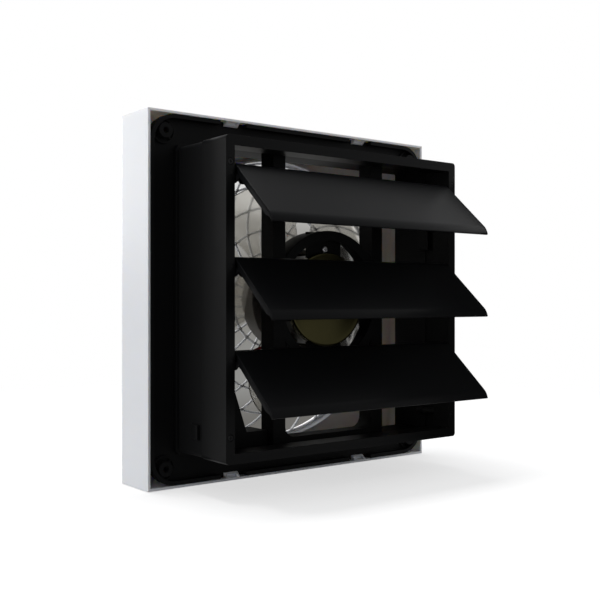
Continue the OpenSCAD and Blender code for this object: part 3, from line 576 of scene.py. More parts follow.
def bar_point(share):
    """A point of the bar's middle line, from 0 at the disc to 1 in the outer ring."""
    radius = DISC_R - BAR_OVERLAP + bar_length * share
    turn = BAR_SWEEP * share * share
    return Vector((radius * math.cos(turn), 0, radius * math.sin(turn)))


print("bar: from", round(bar_point(0).length * 1000, 1), "to", round(bar_point(1).length * 1000, 1), "mm")

# %% [markdown]
# One bar is drawn along that line, a short step at a time. Its section starts as a flat plane
# with round corners, and it is turned a little at each step, so that it stays square to the
# bar's way. A curve with a second curve as its section would give the same form, but the
# steps of the extrusion can be followed one by one.

# %% One bar
BAR_WIDTH = 0.0015
BAR_DEPTH = (back - front) * 0.92
BAR_CORNER = 0.0006
BAR_STEPS = 18
BAR_Y = (front + back) / 2

bpy.ops.mesh.primitive_plane_add(size=1, location=(0, BAR_Y, 0), rotation=(0, math.pi / 2, 0))
bar = bpy.context.object
start_edit(bar)
bpy.ops.mesh.select_all(action="SELECT")
bpy.ops.transform.resize(value=(1, BAR_DEPTH, BAR_WIDTH))
bpy.ops.transform.translate(value=bar_point(0))
bpy.ops.mesh.bevel(offset=BAR_CORNER, segments=3, affect="VERTICES")
bpy.ops.mesh.select_all(action="SELECT")
heading = 0.0
for step in range(1, BAR_STEPS + 1):
    here = bar_point((step - 1) / BAR_STEPS)
    there = bar_point(step / BAR_STEPS)
    bpy.ops.mesh.extrude_region_move(TRANSFORM_OT_translate={"value": there - here})
    ahead = bar_point(min(1, (step + 0.5) / BAR_STEPS)) - bar_point((step - 0.5) / BAR_STEPS)
    turn = math.atan2(ahead.z, ahead.x)
    middle = Vector((there.x, BAR_Y, there.z))
    bpy.ops.transform.rotate(value=turn - heading, orient_axis="Y", center_override=middle)
    heading = turn
bpy.ops.mesh.select_all(action="SELECT")
bpy.ops.mesh.normals_make_consistent(inside=False)
settle(bar)
print("bar:", len(bar.data.polygons), "faces")

# %% [markdown]
# The other bars are copies of the first, turned round the axis. The phase turns them all to
# where the few bars stand that show through the louvres' gaps. Rings, disc and bars are
# joined. Smooth shading hides the short steps, and edges of more than 35 degrees stay.

# %% Guard joined
BAR_COUNT = 26
BAR_PHASE = math.radians(3.8)

bar_turns = [i * math.tau / BAR_COUNT - BAR_PHASE for i in range(BAR_COUNT)]
bars = [turned_copy(bar, (0, turn, 0)) for turn in bar_turns]
bpy.data.objects.remove(bar)
grille = joined("grille_moulding", rings + [disc] + bars, grille_plastic)
soften(grille)
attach(grille, "housing")
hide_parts("front_grille")
print("grille:", len(grille.data.polygons), "faces")

# %% [markdown]
# The impeller is moulded from smoky clear plastic. A blade is a thin swept shell that twists
# round the hub: its front edge lies on the room side. A flat plate with a twist would be as
# wide and as straight at its tip as at its root, so the blade is drawn from a law of its own.
# These functions give its depth along the chord, and its width and radius from the root (0)
# to the tip (1).

# %% Blade's law
hub_low, hub_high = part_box("impeller")
HUB_R = 0.046
BLADE_T = 0.0018
ROOT_R = HUB_R - BLADE_T
TIP_R = 0.106
BLADE_TURN = math.radians(50)
TIP_TURN = math.radians(42)
TIP_ROUND = 0.3
BLADE_SWEEP = math.radians(16)
CAMBER = 0.12
BLADE_INSET = 0.0025
BLADE_ROOM = 0.003
BLADE_FRONT = hub_low.y + BLADE_INSET + BLADE_ROOM / 2
BLADE_DEPTH = hub_high.y - hub_low.y - 2 * BLADE_INSET - BLADE_ROOM


def camber(t):
    """Depth behind the front edge, at a share of the chord."""
    return BLADE_DEPTH * (t + CAMBER * math.sin(math.pi * t))


def blade_width(share):
    """A blade's width as an angle, narrower outward and faster where the tip is rounded."""
    over = max(0, (share - 1 + TIP_ROUND) / TIP_ROUND)
    return (BLADE_TURN + (TIP_TURN - BLADE_TURN) * share) * (1 - TIP_ROUND * over * over)


def blade_radius(share):
    return ROOT_R + (TIP_R - ROOT_R) * share


print("blade:", round(BLADE_DEPTH * 1000, 1), "mm deep, root at", round(ROOT_R * 1000, 1), "mm")

# %% [markdown]
# The root is drawn vertex by vertex: each step goes along the axis, away from the room, and
# turns round it. With no window, the rotate operator turns the other way from a right-handed
# turn, so a positive value goes from X towards Z here.

# %% Blade's root
CHORD_STEPS = 8


def turn_round_axis(angle):
    """Turns the selected vertices round the fan's axis."""
    bpy.ops.transform.rotate(value=angle, orient_axis="Y", center_override=(0, 0, 0))


root_start = (ROOT_R * math.cos(BLADE_TURN / 2), BLADE_FRONT, -ROOT_R * math.sin(BLADE_TURN / 2))
blade = first_point(root_start)
for i in range(1, CHORD_STEPS + 1):
    rise = camber(i / CHORD_STEPS) - camber((i - 1) / CHORD_STEPS)
    bpy.ops.mesh.extrude_vertices_move(TRANSFORM_OT_translate={"value": (0, rise, 0)})
    turn_round_axis(BLADE_TURN / CHORD_STEPS)
bpy.ops.mesh.select_all(action="SELECT")
print("root:", len(bmesh.from_edit_mesh(blade.data).verts), "vertices")

# %% [markdown]
# Then the blade grows outward a row at a time. Each row is extruded, enlarged and turned to
# follow the sweep. Its vertices are then turned towards its middle, one by one, because the
# rows get narrower. That rounds the tip.

# %% Blade's rows
ROW_STEPS = 10
SAME_VERTEX = 0.00001
SAME_ROW = 0.00002


def draw_row_in(thing, narrower):
    """Turns each vertex of the selected row towards its middle, to narrow it by an angle."""
    row = [tuple(v.co) for v in bmesh.from_edit_mesh(thing.data).verts if v.select]
    row.sort(key=lambda place: place[1])
    for i, place in enumerate(row):
        pick(thing, lambda co: (co - Vector(place)).length < SAME_VERTEX)
        turn_round_axis(narrower * (i / CHORD_STEPS - 0.5))


for row in range(1, ROW_STEPS + 1):
    share = row / ROW_STEPS
    before = (row - 1) / ROW_STEPS
    grow = blade_radius(share) / blade_radius(before)
    bpy.ops.mesh.extrude_region_move()
    bpy.ops.transform.resize(value=(grow, 1, grow), center_override=(0, 0, 0))
    turn_round_axis(BLADE_SWEEP * (before * before - share * share))
    draw_row_in(blade, blade_width(share) - blade_width(before))
    pick(blade, lambda co: abs(math.hypot(co.x, co.z) - blade_radius(share)) < SAME_ROW)
settle(blade)
print("blade:", len(blade.data.polygons), "faces before it is smoothed")

# %% [markdown]
# Modifiers give the rest: a smooth surface, a thickness and round edges, in that order. A
# bevel before the thickness would find no edge to round.

# %% Blade's surface, thickness and copies
BLADE_COUNT = 5
BLADE_EDGE = 0.0005

modify(blade, "SUBSURF", levels=2, render_levels=2, boundary_smooth="PRESERVE_CORNERS")
modify(blade, "SOLIDIFY", thickness=BLADE_T, offset=0)
modify(blade, "BEVEL", width=BLADE_EDGE, segments=2, limit_method="ANGLE", angle_limit=SHARP)
tip = max(math.hypot(v.co.x, v.co.z) for v in blade.data.vertices)
print("blade:", len(blade.data.polygons), "faces, tip at", round(tip * 1000, 1), "mm")
blades = [turned_copy(blade, (0, i * math.tau / BLADE_COUNT, 0)) for i in range(BLADE_COUNT)]
bpy.data.objects.remove(blade)

# %% [markdown]
# The hub is a deep cap, closed on the room side, with a bush in its middle. The cap and the
# bush are one line spun round the axis: over the outside, round the rim, back along the inside
# and down the bush.

# %% Hub
nose = hub_low.y
mouth = hub_high.y
cap_outside = [(0, nose), (0.034, nose), (0.0375, nose + 0.0005), (0.0405, nose + 0.0018),
               (0.0428, nose + 0.004), (0.0442, nose + 0.007), (0.0447, nose + 0.0095)]
cap_rim = [(HUB_R, mouth - 0.0004), (0.0456, mouth), (0.0438, mouth), (0.0434, mouth - 0.0005)]
cap_inside = [(0.0424, nose + 0.009), (0.0405, nose + 0.0052), (0.036, nose + 0.0026)]
bush = [(0.009, nose + 0.0024), (0.009, mouth - 0.0006), (0.0084, mouth), (0.004, mouth)]
hub = lathe("hub", cap_outside + cap_rim + cap_inside + bush)
print("hub:", len(hub.data.polygons), "faces")

# %% [markdown]
# Ribs join the bush and the wall, as a moulder makes a thin cap stiff. A rib is a thin block
# with its edges rounded, and its copies are turned round the axis. The hub and the blades have
# finishes of their own, so they stay two pieces on the same body.

# %% Hub's ribs, and the impeller joined
HUB_RIBS = 6
HUB_RIB_SIZE = (0.034, 0.0095, 0.0018)
HUB_RIB_PLACE = (0.026, nose + 0.0070, 0)
HUB_RIB_EDGE = 0.0004

bpy.ops.mesh.primitive_cube_add(size=1, location=HUB_RIB_PLACE, scale=HUB_RIB_SIZE)
rib = bpy.context.object
settle(rib)
modify(rib, "BEVEL", width=HUB_RIB_EDGE, segments=2)
ribs = [turned_copy(rib, (0, i * math.tau / HUB_RIBS, 0)) for i in range(HUB_RIBS)]
bpy.data.objects.remove(rib)
hub_piece = joined("impeller_hub", [hub] + ribs, smoke_hub)
soften(hub_piece)
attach(hub_piece, "fan_wheel")
blade_piece = joined("impeller_blades", blades, smoke_plastic)
soften(blade_piece, 60)
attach(blade_piece, "fan_wheel")
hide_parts("impeller")
print("impeller:", len(blade_piece.data.polygons), "faces in the blades,",
      len(hub_piece.data.polygons), "in the hub")

# %% [markdown]
# The motor's rear shield is a pressed steel cover. Its rim is rolled over the shell and its
# middle is drawn out into a cup for the bearing. All of it is round, so one line spun round
# the axis makes it, and a thickness turns it into sheet steel.

# %% Motor's rear shield
shield_low, shield_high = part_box("motor_rear_shield")
SHIELD_R = shield_high.x
SHIELD_Y = 0.0374
SHEET_T = 0.0011

rolled_rim = [(SHIELD_R - 0.0017, shield_low.y), (SHIELD_R, shield_low.y + 0.0002),
              (SHIELD_R, SHIELD_Y - 0.0008), (SHIELD_R - 0.0002, SHIELD_Y - 0.0002),
              (SHIELD_R - 0.0007, SHIELD_Y + 0.0003), (SHIELD_R - 0.0014, SHIELD_Y + 0.0004),
              (SHIELD_R - 0.0024, SHIELD_Y + 0.0003)]
face = [(0.034, SHIELD_Y + 0.0002), (0.030, SHIELD_Y + 0.0002), (0.026, SHIELD_Y + 0.0002),
        (0.018, SHIELD_Y + 0.0003), (0.0120, SHIELD_Y + 0.0003)]
bearing_cup = [(0.0108, SHIELD_Y + 0.0005), (0.0098, SHIELD_Y + 0.0013),
               (0.0092, SHIELD_Y + 0.0022), (0.0086, SHIELD_Y + 0.0028),
               (0.0076, shield_high.y), (0.0, shield_high.y)]
shield = lathe("rear_shield_pressing", rolled_rim + face + bearing_cup)
modify(shield, "SOLIDIFY", thickness=SHEET_T, offset=-1)
shield = joined("rear_shield_pressing", [shield], olive_steel_painted_shade)
soften(shield)
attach(shield, "housing")
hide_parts("motor_rear_shield")
print("rear shield:", len(shield.data.polygons), "faces")

# %% [markdown]
# Four kinds of pan head screw hold the fan together. A real one has a domed head with a
# cross recess. The head is a short cylinder with its top edge rounded, and two crossed bars
# are cut out of it with a boolean. Their sizes are shares of the head's radius and height.

# %% A screw's head
HEAD_SIDES = 32
DOME = 0.45
RECESS_LENGTH = 1.05
RECESS_WIDTH = 0.26
RECESS_HEIGHT = 1.1


def screw_head(radius, height):
    """A domed head with a cross recess, that stands on Z = 0."""
    bpy.ops.mesh.primitive_cylinder_add(vertices=HEAD_SIDES, radius=radius, depth=height,
                                        location=(0, 0, height / 2))
    head = bpy.context.object
    start_edit(head)
    pick(head, lambda co: co.z > 0)
    bpy.ops.mesh.bevel(offset=height * DOME, segments=4, affect="EDGES")
    settle(head)
    cutter_size = (radius * RECESS_LENGTH, radius * RECESS_WIDTH, height * RECESS_HEIGHT)
    for turn in (0, math.pi / 2):
        bpy.ops.mesh.primitive_cube_add(size=1, location=(0, 0, height), rotation=(0, 0, turn),
                                        scale=cutter_size)
        cutter = bpy.context.object
        modify(head, "BOOLEAN", object=cutter, operation="DIFFERENCE", solver="EXACT")
        bpy.data.objects.remove(cutter)
    return head


print("screw head ready")

# %% [markdown]
# The shank is a plain cylinder with a cut tip, because it is hidden in its bore and a thread
# would only cost faces. One screw of each kind is built standing on Z = 0. Its copies are
# turned, head first, to the way that they face, and joined to one piece.

# %% A screw's shank, and the whole screw
SHANK_SIDES = 20
TIP_CUT = 0.4


def screw_shank(radius, length):
    """A shank with a cut tip, that hangs below Z = 0."""
    bpy.ops.mesh.primitive_cylinder_add(vertices=SHANK_SIDES, radius=radius, depth=length,
                                        location=(0, 0, -length / 2))
    shank = bpy.context.object
    start_edit(shank)
    pick(shank, lambda co: co.z < 0)
    bpy.ops.mesh.bevel(offset=radius * TIP_CUT, segments=1, affect="EDGES")
    settle(shank)
    return shank


def screws(name, places, head, shank, material):
    """Copies of one screw at (place, direction of the head) pairs, joined to one piece."""
    screw = joined("screw", [screw_head(*head), screw_shank(*shank)], material)
    made = []
    for place, way in places:
        turn = Vector(way).to_track_quat("Z", "Y").to_euler()
        made.append(turned_copy(screw, turn, place))
    bpy.data.objects.remove(screw)
    piece = joined(name, made, material)
    soften(piece)
    print(name, len(made), "screws,", len(piece.data.polygons), "faces")
    return piece


print("screws ready")

# %% [markdown]
# Four screws go through the motor's ears and face outdoors. Four more go through the duct's
# top and bottom walls into the bracket, with their heads outside the duct. A head and a shank
# are each given as a radius and a length.

# %% Motor's and bracket's screws
OUT = (0, 1, 0)
EAR_R = 0.0427
EAR_Y = 0.033
BRACKET_X = 0.0532
BRACKET_Y = 0.03
DUCT_Z = 0.122

motor_screws = screws(
    "motor_pan_screws",
    [((EAR_R, EAR_Y, 0), OUT), ((-EAR_R, EAR_Y, 0), OUT),
     ((0, EAR_Y, EAR_R), OUT), ((0, EAR_Y, -EAR_R), OUT)],
    head=(0.0027, 0.0017), shank=(0.0015, 0.0075), material=bright_steel)
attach(motor_screws, "housing")
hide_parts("motor_screws")

bracket_screws = screws(
    "bracket_pan_screws",
    [((x, BRACKET_Y, z * DUCT_Z), (0, 0, z)) for x in (-BRACKET_X, BRACKET_X) for z in (-1, 1)],
    head=(0.0034, 0.0018), shank=(0.0018, 0.012), material=bright_steel)
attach(bracket_screws, "housing")
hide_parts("bracket_screws")

# %% [markdown]
# Four long black screws hold the shutter frame from its corners. One bright screw holds the
# terminal box's cover and faces the room.

# %% Shutter's and cover's screws
RIM_X = 0.1187
RIM_Y = 0.0672
RIM_Z = 0.1025
cover_low, cover_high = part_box("terminal_cover_screw")
cover_middle = (cover_low + cover_high) / 2
COVER_HEAD_H = 0.0018

shutter_screws = screws(
    "shutter_pan_screws",
    [((x, RIM_Y, z), OUT) for x in (-RIM_X, RIM_X) for z in (-RIM_Z, RIM_Z)],
    head=(0.0025, 0.0016), shank=(0.0013, 0.0402), material=black_steel)
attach(shutter_screws, "housing")
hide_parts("shutter_screws")

cover_screw = screws(
    "cover_pan_screw",
    [((cover_middle.x, cover_low.y + COVER_HEAD_H, cover_middle.z), (0, -1, 0))],
    head=(0.0028, COVER_HEAD_H), shank=(0.0014, 0.011), material=bright_steel)
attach(cover_screw, "housing")
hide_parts("terminal_cover_screw")

# %% [markdown]
# Two insulated leads run from the motor to the terminal box. They leave the shell low down,
# go outward and then drop into the box's top. A short wire like this isn't straight: it hangs
# a little slack on its way. This function gives the points that it follows.

# %% Lead's route
SHELL_R = 0.0376
BOX_X = 0.1152
BOX_Z = -0.067
LEAD_STEPS = 6
SLACK = 0.006


def lead_route(start_deg, y0, y1, inset):
    """Points from the shell, at an angle round it, to the top of the terminal box."""
    angle = math.radians(start_deg)
    a = Vector((SHELL_R * math.cos(angle), y0, SHELL_R * math.sin(angle)))
    b = Vector((BOX_X - inset, y1, BOX_Z))
    points = []
    for i in range(LEAD_STEPS + 1):
        turn = math.pi / 2 * i / LEAD_STEPS
        drop = (b.z - a.z) * (1 - math.cos(turn)) - SLACK * math.sin(2 * turn)
        points.append(Vector((a.x + (b.x - a.x) * math.sin(turn),
                              a.y + (b.y - a.y) * i / LEAD_STEPS, a.z + drop)))
    return points


red_route = lead_route(start_deg=-58, y0=0.016, y1=0.017, inset=0.014)
olive_route = lead_route(start_deg=-68, y0=0.013, y1=0.014, inset=0.019)
print("leads:", len(red_route), "and", len(olive_route), "points")

# %% [markdown]
# A lead is a smooth curve through its points. The curve's own bevel gives it a round section
# and it is then turned into a mesh. A chain of cylinders would show a kink at every point.

# %% Motor leads
LEAD_R = 0.0011


def lead(name, points, material):
    clear_selection()
    bpy.ops.curve.primitive_bezier_curve_add(location=(0, 0, 0))
    line = bpy.context.object
    spline = line.data.splines[0]
    spline.bezier_points.add(len(points) - 2)
    for knot, place in zip(spline.bezier_points, points):
        knot.co = place
        knot.handle_left_type = knot.handle_right_type = "AUTO"
    line.data.bevel_depth = LEAD_R
    line.data.bevel_resolution = 4
    line.data.use_fill_caps = True
    bpy.ops.object.convert(target="MESH")
    piece = joined(name, [bpy.context.object], material)
    soften(piece, 50)
    print(name, len(piece.data.polygons), "faces")
    return piece


red_lead = lead("red_lead", red_route, red_insulation)
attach(red_lead, "housing")
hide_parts("motor_lead_red")

olive_lead = lead("olive_lead", olive_route, olive_insulation)
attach(olive_lead, "housing")
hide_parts("motor_lead_olive")

# %% [markdown]
# A louvre is one long moulding that hangs on two pins. Its outer skin curls over the axis at
# the top, runs down flat, and ends in a lip that bends back to the house. The section is
# drawn once as an outline, with the louvre closed, and drawn out along X. These functions
# give the skin's line and move it inward, which makes the skin's inner side and the ribs.

# %% Louvre's section
LOUVRE_HALF = 0.1138
SKIN = 0.0018
CURL_R = 0.008
CURL_TURN = math.radians(75)
CURL_STEPS = 10
LEAN = 0.0033
DROP = 0.0631
LIP_H = 0.009
LIP_STEPS = 8


def skin_line():
    """The skin's outer line as (Y, Z) from the axis, closed: curl, flat and lip."""
    turns = [CURL_TURN * (1 - i / CURL_STEPS) for i in range(CURL_STEPS + 1)]
    curl = [(CURL_R * math.cos(turn), CURL_R * math.sin(turn)) for turn in turns]
    a = Vector((CURL_R + LEAN, LIP_H - DROP))
    b = a + Vector((LEAN / 6, -LIP_H / 2))
    c = Vector((CURL_R + LEAN / 3, -DROP))
    shares = [i / LIP_STEPS for i in range(LIP_STEPS + 1)]
    lip = [tuple((1 - t) * (1 - t) * a + 2 * t * (1 - t) * b + t * t * c) for t in shares]
    return curl + lip


def inward(line, depth):
    """The line moved in by a depth, or by one depth for each of its points."""
    moved = []
    for i, point in enumerate(line):
        way = Vector(line[min(i + 1, len(line) - 1)]) - Vector(line[max(i - 1, 0)])
        way.normalize()
        deep = depth[i] if isinstance(depth, list) else depth
        moved.append((point[0] + deep * way.y, point[1] - deep * way.x))
    return moved


line = skin_line()
print("section:", len(line), "points from", round(line[0][1] * 1000, 1), "mm above the axis to",
      round(-line[-1][1] * 1000, 1), "mm below")

# %% [markdown]
# All that a louvre is made of is either a flat outline that is drawn out along X, or a round
# pin along X. A pin is a cylinder, which gets its round edges with the whole louvre.

# %% Drawn out along X
PIN_SIDES = 40


def extruded(outline, x0, x1):
    """A flat outline of (Y, Z) points at x0, drawn out to x1."""
    thing = draw_line([(x0, y, z) for y, z in outline])
    bpy.ops.mesh.edge_face_add()
    bpy.ops.mesh.extrude_region_move(TRANSFORM_OT_translate={"value": (x1 - x0, 0, 0)})
    bpy.ops.mesh.select_all(action="SELECT")
    bpy.ops.mesh.normals_make_consistent(inside=False)
    settle(thing)
    return thing


def pin(x0, x1, y, z, radius):
    """A round pin along X."""
    bpy.ops.mesh.primitive_cylinder_add(vertices=PIN_SIDES, radius=radius, depth=x1 - x0,
                                        rotation=(0, math.pi / 2, 0),
                                        location=((x0 + x1) / 2, y, z))
    thing = bpy.context.object
    settle(thing)
    return thing


print("outline and pin helpers ready")

# %% [markdown]
# The skin is the outline of both sides, drawn out over the louvre's length. Four ribs stiffen
# it, and they taper to the lip. Each has a round eye on the axis, and a pivot pin stands out
# at each end.

# %% Louvre's skin, ribs and pivot pins
RIB_DEPTH = 0.005
RIB_END = SKIN * 0.8
RIB_T = 0.002
EYE_R = CURL_R - SKIN / 2
PIVOT_R = 0.0025
PIVOT_L = 0.0048

rib_line = line[CURL_STEPS:]
taper = [RIB_DEPTH + (RIB_END - RIB_DEPTH) * i / LIP_STEPS for i in range(1, LIP_STEPS + 1)]
rib_inside = inward(rib_line, [RIB_DEPTH, RIB_DEPTH] + taper)
rib_outline = inward(rib_line, SKIN / 2) + rib_inside[::-1]
rib_places = (-LOUVRE_HALF, -LOUVRE_HALF / 3, LOUVRE_HALF / 3 - RIB_T, LOUVRE_HALF - RIB_T)
pivot_places = (-LOUVRE_HALF - PIVOT_L, LOUVRE_HALF - RIB_T)
louvre_parts = [extruded(line + inward(line, SKIN)[::-1], -LOUVRE_HALF, LOUVRE_HALF)]
for part, places in ((extruded(rib_outline, 0, RIB_T), rib_places),
                     (pin(0, RIB_T, 0, 0, EYE_R), rib_places),
                     (pin(0, PIVOT_L + RIB_T, 0, 0, PIVOT_R), pivot_places)):
    louvre_parts += [turned_copy(part, place=(x, 0, 0)) for x in places]
    bpy.data.objects.remove(part)
print("louvre:", len(louvre_parts), "parts so far")

# %% [markdown]
# Near one end a crank reaches inward and up at 45 degrees from the axis. The headed pin at
# its end sits in an eye of the link bar, so that one bar moves all three louvres.

# %% Louvre's crank
CRANK_T = 0.002
CRANK_ARM = 0.010
CRANK_EYE_R = 0.004
CRANK_PIN_R = 0.002
HEAD_R = 0.0026
HEAD_T = 0.001
LINK_T = 0.002
LINK_INSET = 0.0075
SIDE_GAP = 0.0003
crank_x = LOUVRE_HALF - LINK_INSET - LINK_T / 2 - SIDE_GAP - CRANK_T
head_x = crank_x + CRANK_T + 2 * SIDE_GAP + LINK_T
half_width = CRANK_EYE_R * math.sqrt(0.5)
arm = [(-half_width, -half_width), (-CRANK_ARM - half_width, CRANK_ARM - half_width),
       (-CRANK_ARM + half_width, CRANK_ARM + half_width), (half_width, half_width)]

louvre_parts.append(pin(crank_x, crank_x + CRANK_T, 0, 0, EYE_R))
louvre_parts.append(extruded(arm, crank_x, crank_x + CRANK_T))
louvre_parts.append(pin(crank_x, crank_x + CRANK_T, -CRANK_ARM, CRANK_ARM, CRANK_EYE_R))
louvre_parts.append(pin(crank_x, head_x + HEAD_T, -CRANK_ARM, CRANK_ARM, CRANK_PIN_R))
louvre_parts.append(pin(head_x, head_x + HEAD_T, -CRANK_ARM, CRANK_ARM, HEAD_R))
print("louvre:", len(louvre_parts), "parts")

# %% [markdown]
# The parts are joined and their edges rounded. The one louvre is then copied three times,
# turned open on its axis and moved to its pivots.

# %% Three louvres
LOUVRE_OPEN = math.radians(45)
AXIS_Y = 0.064
AXIS_Z = {"louvre_top": 0.094, "louvre_middle": 0.024, "louvre_bottom": -0.046}
LOUVRE_EDGE = 0.0005
LOUVRE_SHARP = 40


louvre = joined("louvre", louvre_parts, louvre_plastic)
modify(louvre, "BEVEL", width=LOUVRE_EDGE, segments=3, limit_method="ANGLE",
       angle_limit=math.radians(LOUVRE_SHARP))
soften(louvre, LOUVRE_SHARP)
for node, z in AXIS_Z.items():
    piece = turned_copy(louvre, (LOUVRE_OPEN, 0, 0), (0, AXIS_Y, z))
    piece.name = piece.data.name = node + "_moulding"
    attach(piece, node)
    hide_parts(node)
    places = [v.co for v in piece.data.vertices]
bpy.data.objects.remove(louvre)

# %% [markdown]
# The floor and the card that follow aren't part of the fan, and need no grain. Their materials
# are built from an empty tree: matt paper, a glow that needs no lamp, and a soft step from one
# to the other at a distance from a middle.

# %% Paper and glow


def bare_material(name):
    """A material whose node tree is still empty."""
    material = bpy.data.materials.new(name)
    material.use_nodes = True
    material.node_tree.nodes.clear()
    return material


def matt(tree, tone):
    node = tree.nodes.new("ShaderNodeBsdfDiffuse")
    node.inputs["Color"].default_value = (tone, tone, tone, 1)
    return node.outputs[0]


def glowing(tree, strength):
    node = tree.nodes.new("ShaderNodeEmission")
    node.inputs["Strength"].default_value = strength
    return node


def beyond(tree, place, start, end, middle=(0, 0, 0)):
    """0 nearer to the middle than start, 1 further off than end, and a soft step between."""
    away = tree.nodes.new("ShaderNodeVectorMath")
    away.operation = "DISTANCE"
    away.inputs[1].default_value = middle
    step = tree.nodes.new("ShaderNodeMapRange")
    step.interpolation_type = "SMOOTHSTEP"
    step.inputs["From Min"].default_value = start
    step.inputs["From Max"].default_value = end
    tree.links.new(place, away.inputs[0])
    tree.links.new(away.outputs["Value"], step.inputs["Value"])
    return step.outputs[0]


print("paper helpers ready")

# %% [markdown]
# The floor is a sheet of paper a hair under the panel. Near the fan it is lit paper, so that
# it shows the fan's shadow. Further off it fades to the white of the page, so that its edge
# never shows. To rays that only carry light it is dull grey, so that it lights the fan only a
# little from below.

# %% Floor
FLOOR_GAP = 0.0005
FLOOR_SIZE = 6
PAPER_TONE = 0.45
PAPER_GLOW = 0.62
DULL_TONE = 0.25
FADE_START = 0.35
FADE_END = 0.9

floor_paint = bare_material("floor_paint")
tree = floor_paint.node_tree
place = tree.nodes.new("ShaderNodeTexCoord")
lit_paper = tree.nodes.new("ShaderNodeAddShader")
tree.links.new(matt(tree, PAPER_TONE), lit_paper.inputs[0])
tree.links.new(glowing(tree, PAPER_GLOW).outputs[0], lit_paper.inputs[1])
far_off = beyond(tree, place.outputs["Object"], FADE_START, FADE_END)
page = glowing(tree, 1).outputs[0]
seen_floor = mixed(tree, far_off, lit_paper.outputs[0], page)
out = tree.nodes.new("ShaderNodeOutputMaterial")
tree.links.new(mixed(tree, page_ray(tree), matt(tree, DULL_TONE), seen_floor),
               out.inputs["Surface"])

clear_selection()
floor_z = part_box("front_panel")[0].z - FLOOR_GAP
bpy.ops.mesh.primitive_plane_add(size=FLOOR_SIZE, location=(0, 0, floor_z))
floor = bpy.context.object
floor.name = "floor"
floor.data.materials.append(floor_paint)
print("floor at", round(floor.location.z * 1000, 1), "mm, with", len(tree.nodes), "nodes")

# %% [markdown]
# What shows through the intake is grey, while the page round the fan is white. A round card stands right
# in front of the intake, and it shows only on the louvre side. Its grey is painted light and shade,
# glowing with no lamp. It throws no light and no shadow on the fan, so the views of the front aren't
# changed. It is painted dark over most of its height and light at the top. This function gives it those
# tones.

# %% Tones from bottom to top


def upward_tones(tree, place, reach, tones):
    """Tones from the bottom (0) to the top (1) of a height that reaches this far each way."""
    height = tree.nodes.new("ShaderNodeSeparateXYZ")
    share = tree.nodes.new("ShaderNodeMapRange")
    share.inputs["From Min"].default_value = -reach
    share.inputs["From Max"].default_value = reach
    shade = tree.nodes.new("ShaderNodeValToRGB")
    shade.color_ramp.interpolation = "EASE"
    while len(shade.color_ramp.elements) < len(tones):
        shade.color_ramp.elements.new(0.5)
    for stop, (position, color) in zip(shade.color_ramp.elements, tones):
        stop.position = position
        stop.color = (*color, 1)
    tree.links.new(place, height.inputs[0])
    tree.links.new(height.outputs["Z"], share.inputs["Value"])
    tree.links.new(share.outputs[0], shade.inputs["Fac"])
    return shade.outputs["Color"]


print("tone helper ready")

# %% [markdown]
# The windows on one side are nearly black with shade. A round patch of painted shade on the card, beside
# the middle, stands for that. A second card would do too, but its edge would show. The card's front faces
# the room, and on that side it is clear, so that it hides nothing of the guard.

# %% Grey card's painted shade
CARD_R = 0.1238
CARD_Y = -0.0482
# Painted light and shade: dark low on the card, light at the top.
PAINTED_SHADE_TONES = ((0.05, (0.16, 0.155, 0.145)), (0.2, (0.27, 0.27, 0.26)), (0.6, (0.2, 0.19, 0.17)),
              (0.75, (0.36, 0.355, 0.34)), (0.9, (0.7, 0.7, 0.69)))
# A round patch of painted shade beside the middle.
SHADE_PATCH_MIDDLE = (-0.1, CARD_Y, 0.0)
SHADE_PATCH_R = 0.052
SHADE_PATCH_END = 0.064
SHADE_PATCH_COLOR = (0.008, 0.008, 0.008, 1)

painted_shade_paper = bare_material("painted_shade_paper")
tree = painted_shade_paper.node_tree
place = tree.nodes.new("ShaderNodeTexCoord")
outside_shade_patch = beyond(tree, place.outputs["Object"], SHADE_PATCH_R, SHADE_PATCH_END, SHADE_PATCH_MIDDLE)
painted_shade_mix = tree.nodes.new("ShaderNodeMix")
painted_shade_mix.data_type = "RGBA"
painted_shade_mix.inputs["A"].default_value = SHADE_PATCH_COLOR
tree.links.new(outside_shade_patch, painted_shade_mix.inputs["Factor"])
tree.links.new(upward_tones(tree, place.outputs["Object"], CARD_R, PAINTED_SHADE_TONES),
               painted_shade_mix.inputs["B"])
grey = glowing(tree, 1)
tree.links.new(painted_shade_mix.outputs["Result"], grey.inputs["Color"])
side = tree.nodes.new("ShaderNodeNewGeometry")
clear = tree.nodes.new("ShaderNodeBsdfTransparent")
out = tree.nodes.new("ShaderNodeOutputMaterial")
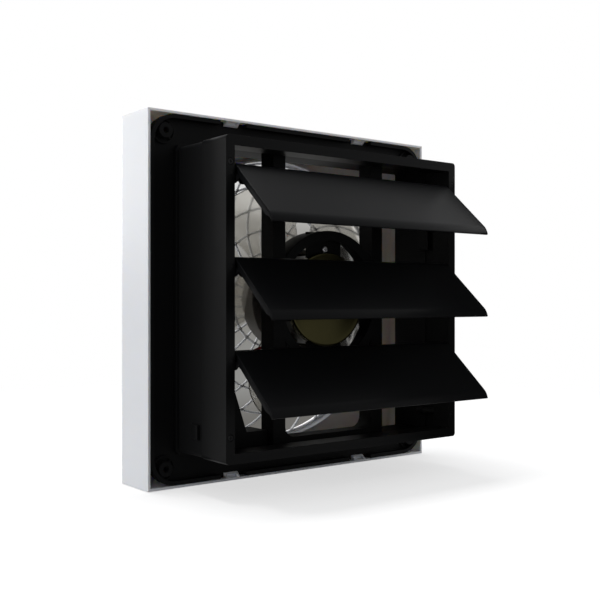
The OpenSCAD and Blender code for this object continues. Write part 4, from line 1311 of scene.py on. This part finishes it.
tree.links.new(mixed(tree, side.outputs["Backfacing"], clear.outputs[0], grey.outputs[0]),
               out.inputs["Surface"])
print("card paper:", len(tree.nodes), "nodes")

# %% [markdown]
# The card itself is a flat disc about as wide as the intake. It is stood upright by its turn, which is
# then put into its mesh, so that the heights of its painted shade are the fan's own.

# %% Grey card
CARD_SIDES = 96

bpy.ops.mesh.primitive_circle_add(vertices=CARD_SIDES, radius=CARD_R, fill_type="NGON",
                                  rotation=(math.pi / 2, 0, 0), location=(0, CARD_Y, 0))
card = bpy.context.object
settle(card)
card.name = "painted_shade_card"
card.data.materials.append(painted_shade_paper)
card.visible_diffuse = False
card.visible_shadow = False
print("card's front faces", tuple(round(c, 2) for c in card.data.polygons[0].normal))

# %% [markdown]
# A photographer sets a black flag beside a dark object to keep the white room out of its gloss. This one
# is a painted dark reflection instead: it is seen in reflections alone and blocks no light. It stands at
# the far ends of the louvres, below the top one's face, so that the lower two mirror black and the top
# one still mirrors white.

# %% Black flag, a painted dark reflection
FLAG_X = -0.129
# Painted dark reflection: black that shows only in glosses.
PAINTED_REFLECTION_COLOR = (0.002, 0.002, 0.002, 1)
FLAG_OUTLINE = [(0.04, -0.14), (0.04, 0.14), (0.0655, 0.1145), (0.1155, 0.0645),
                (0.22, 0.0645), (0.22, 0.012), (0.17, 0.012), (0.17, -0.14)]

flag = draw_line([(FLAG_X, y, z) for y, z in FLAG_OUTLINE])
bpy.ops.mesh.edge_face_add()
settle(flag)
flag.name = "painted_dark_reflection"
painted_reflection_cloth = bpy.data.materials.new("painted_reflection_cloth")
painted_reflection_cloth.use_nodes = True
cloth = painted_reflection_cloth.node_tree.nodes["Principled BSDF"]
cloth.inputs["Base Color"].default_value = PAINTED_REFLECTION_COLOR
cloth.inputs["Specular IOR Level"].default_value = 0.0
flag.data.materials.append(painted_reflection_cloth)
flag.visible_camera = False
flag.visible_diffuse = False
flag.visible_transmission = False
flag.visible_shadow = False
print("flag corners:", len(flag.data.vertices))
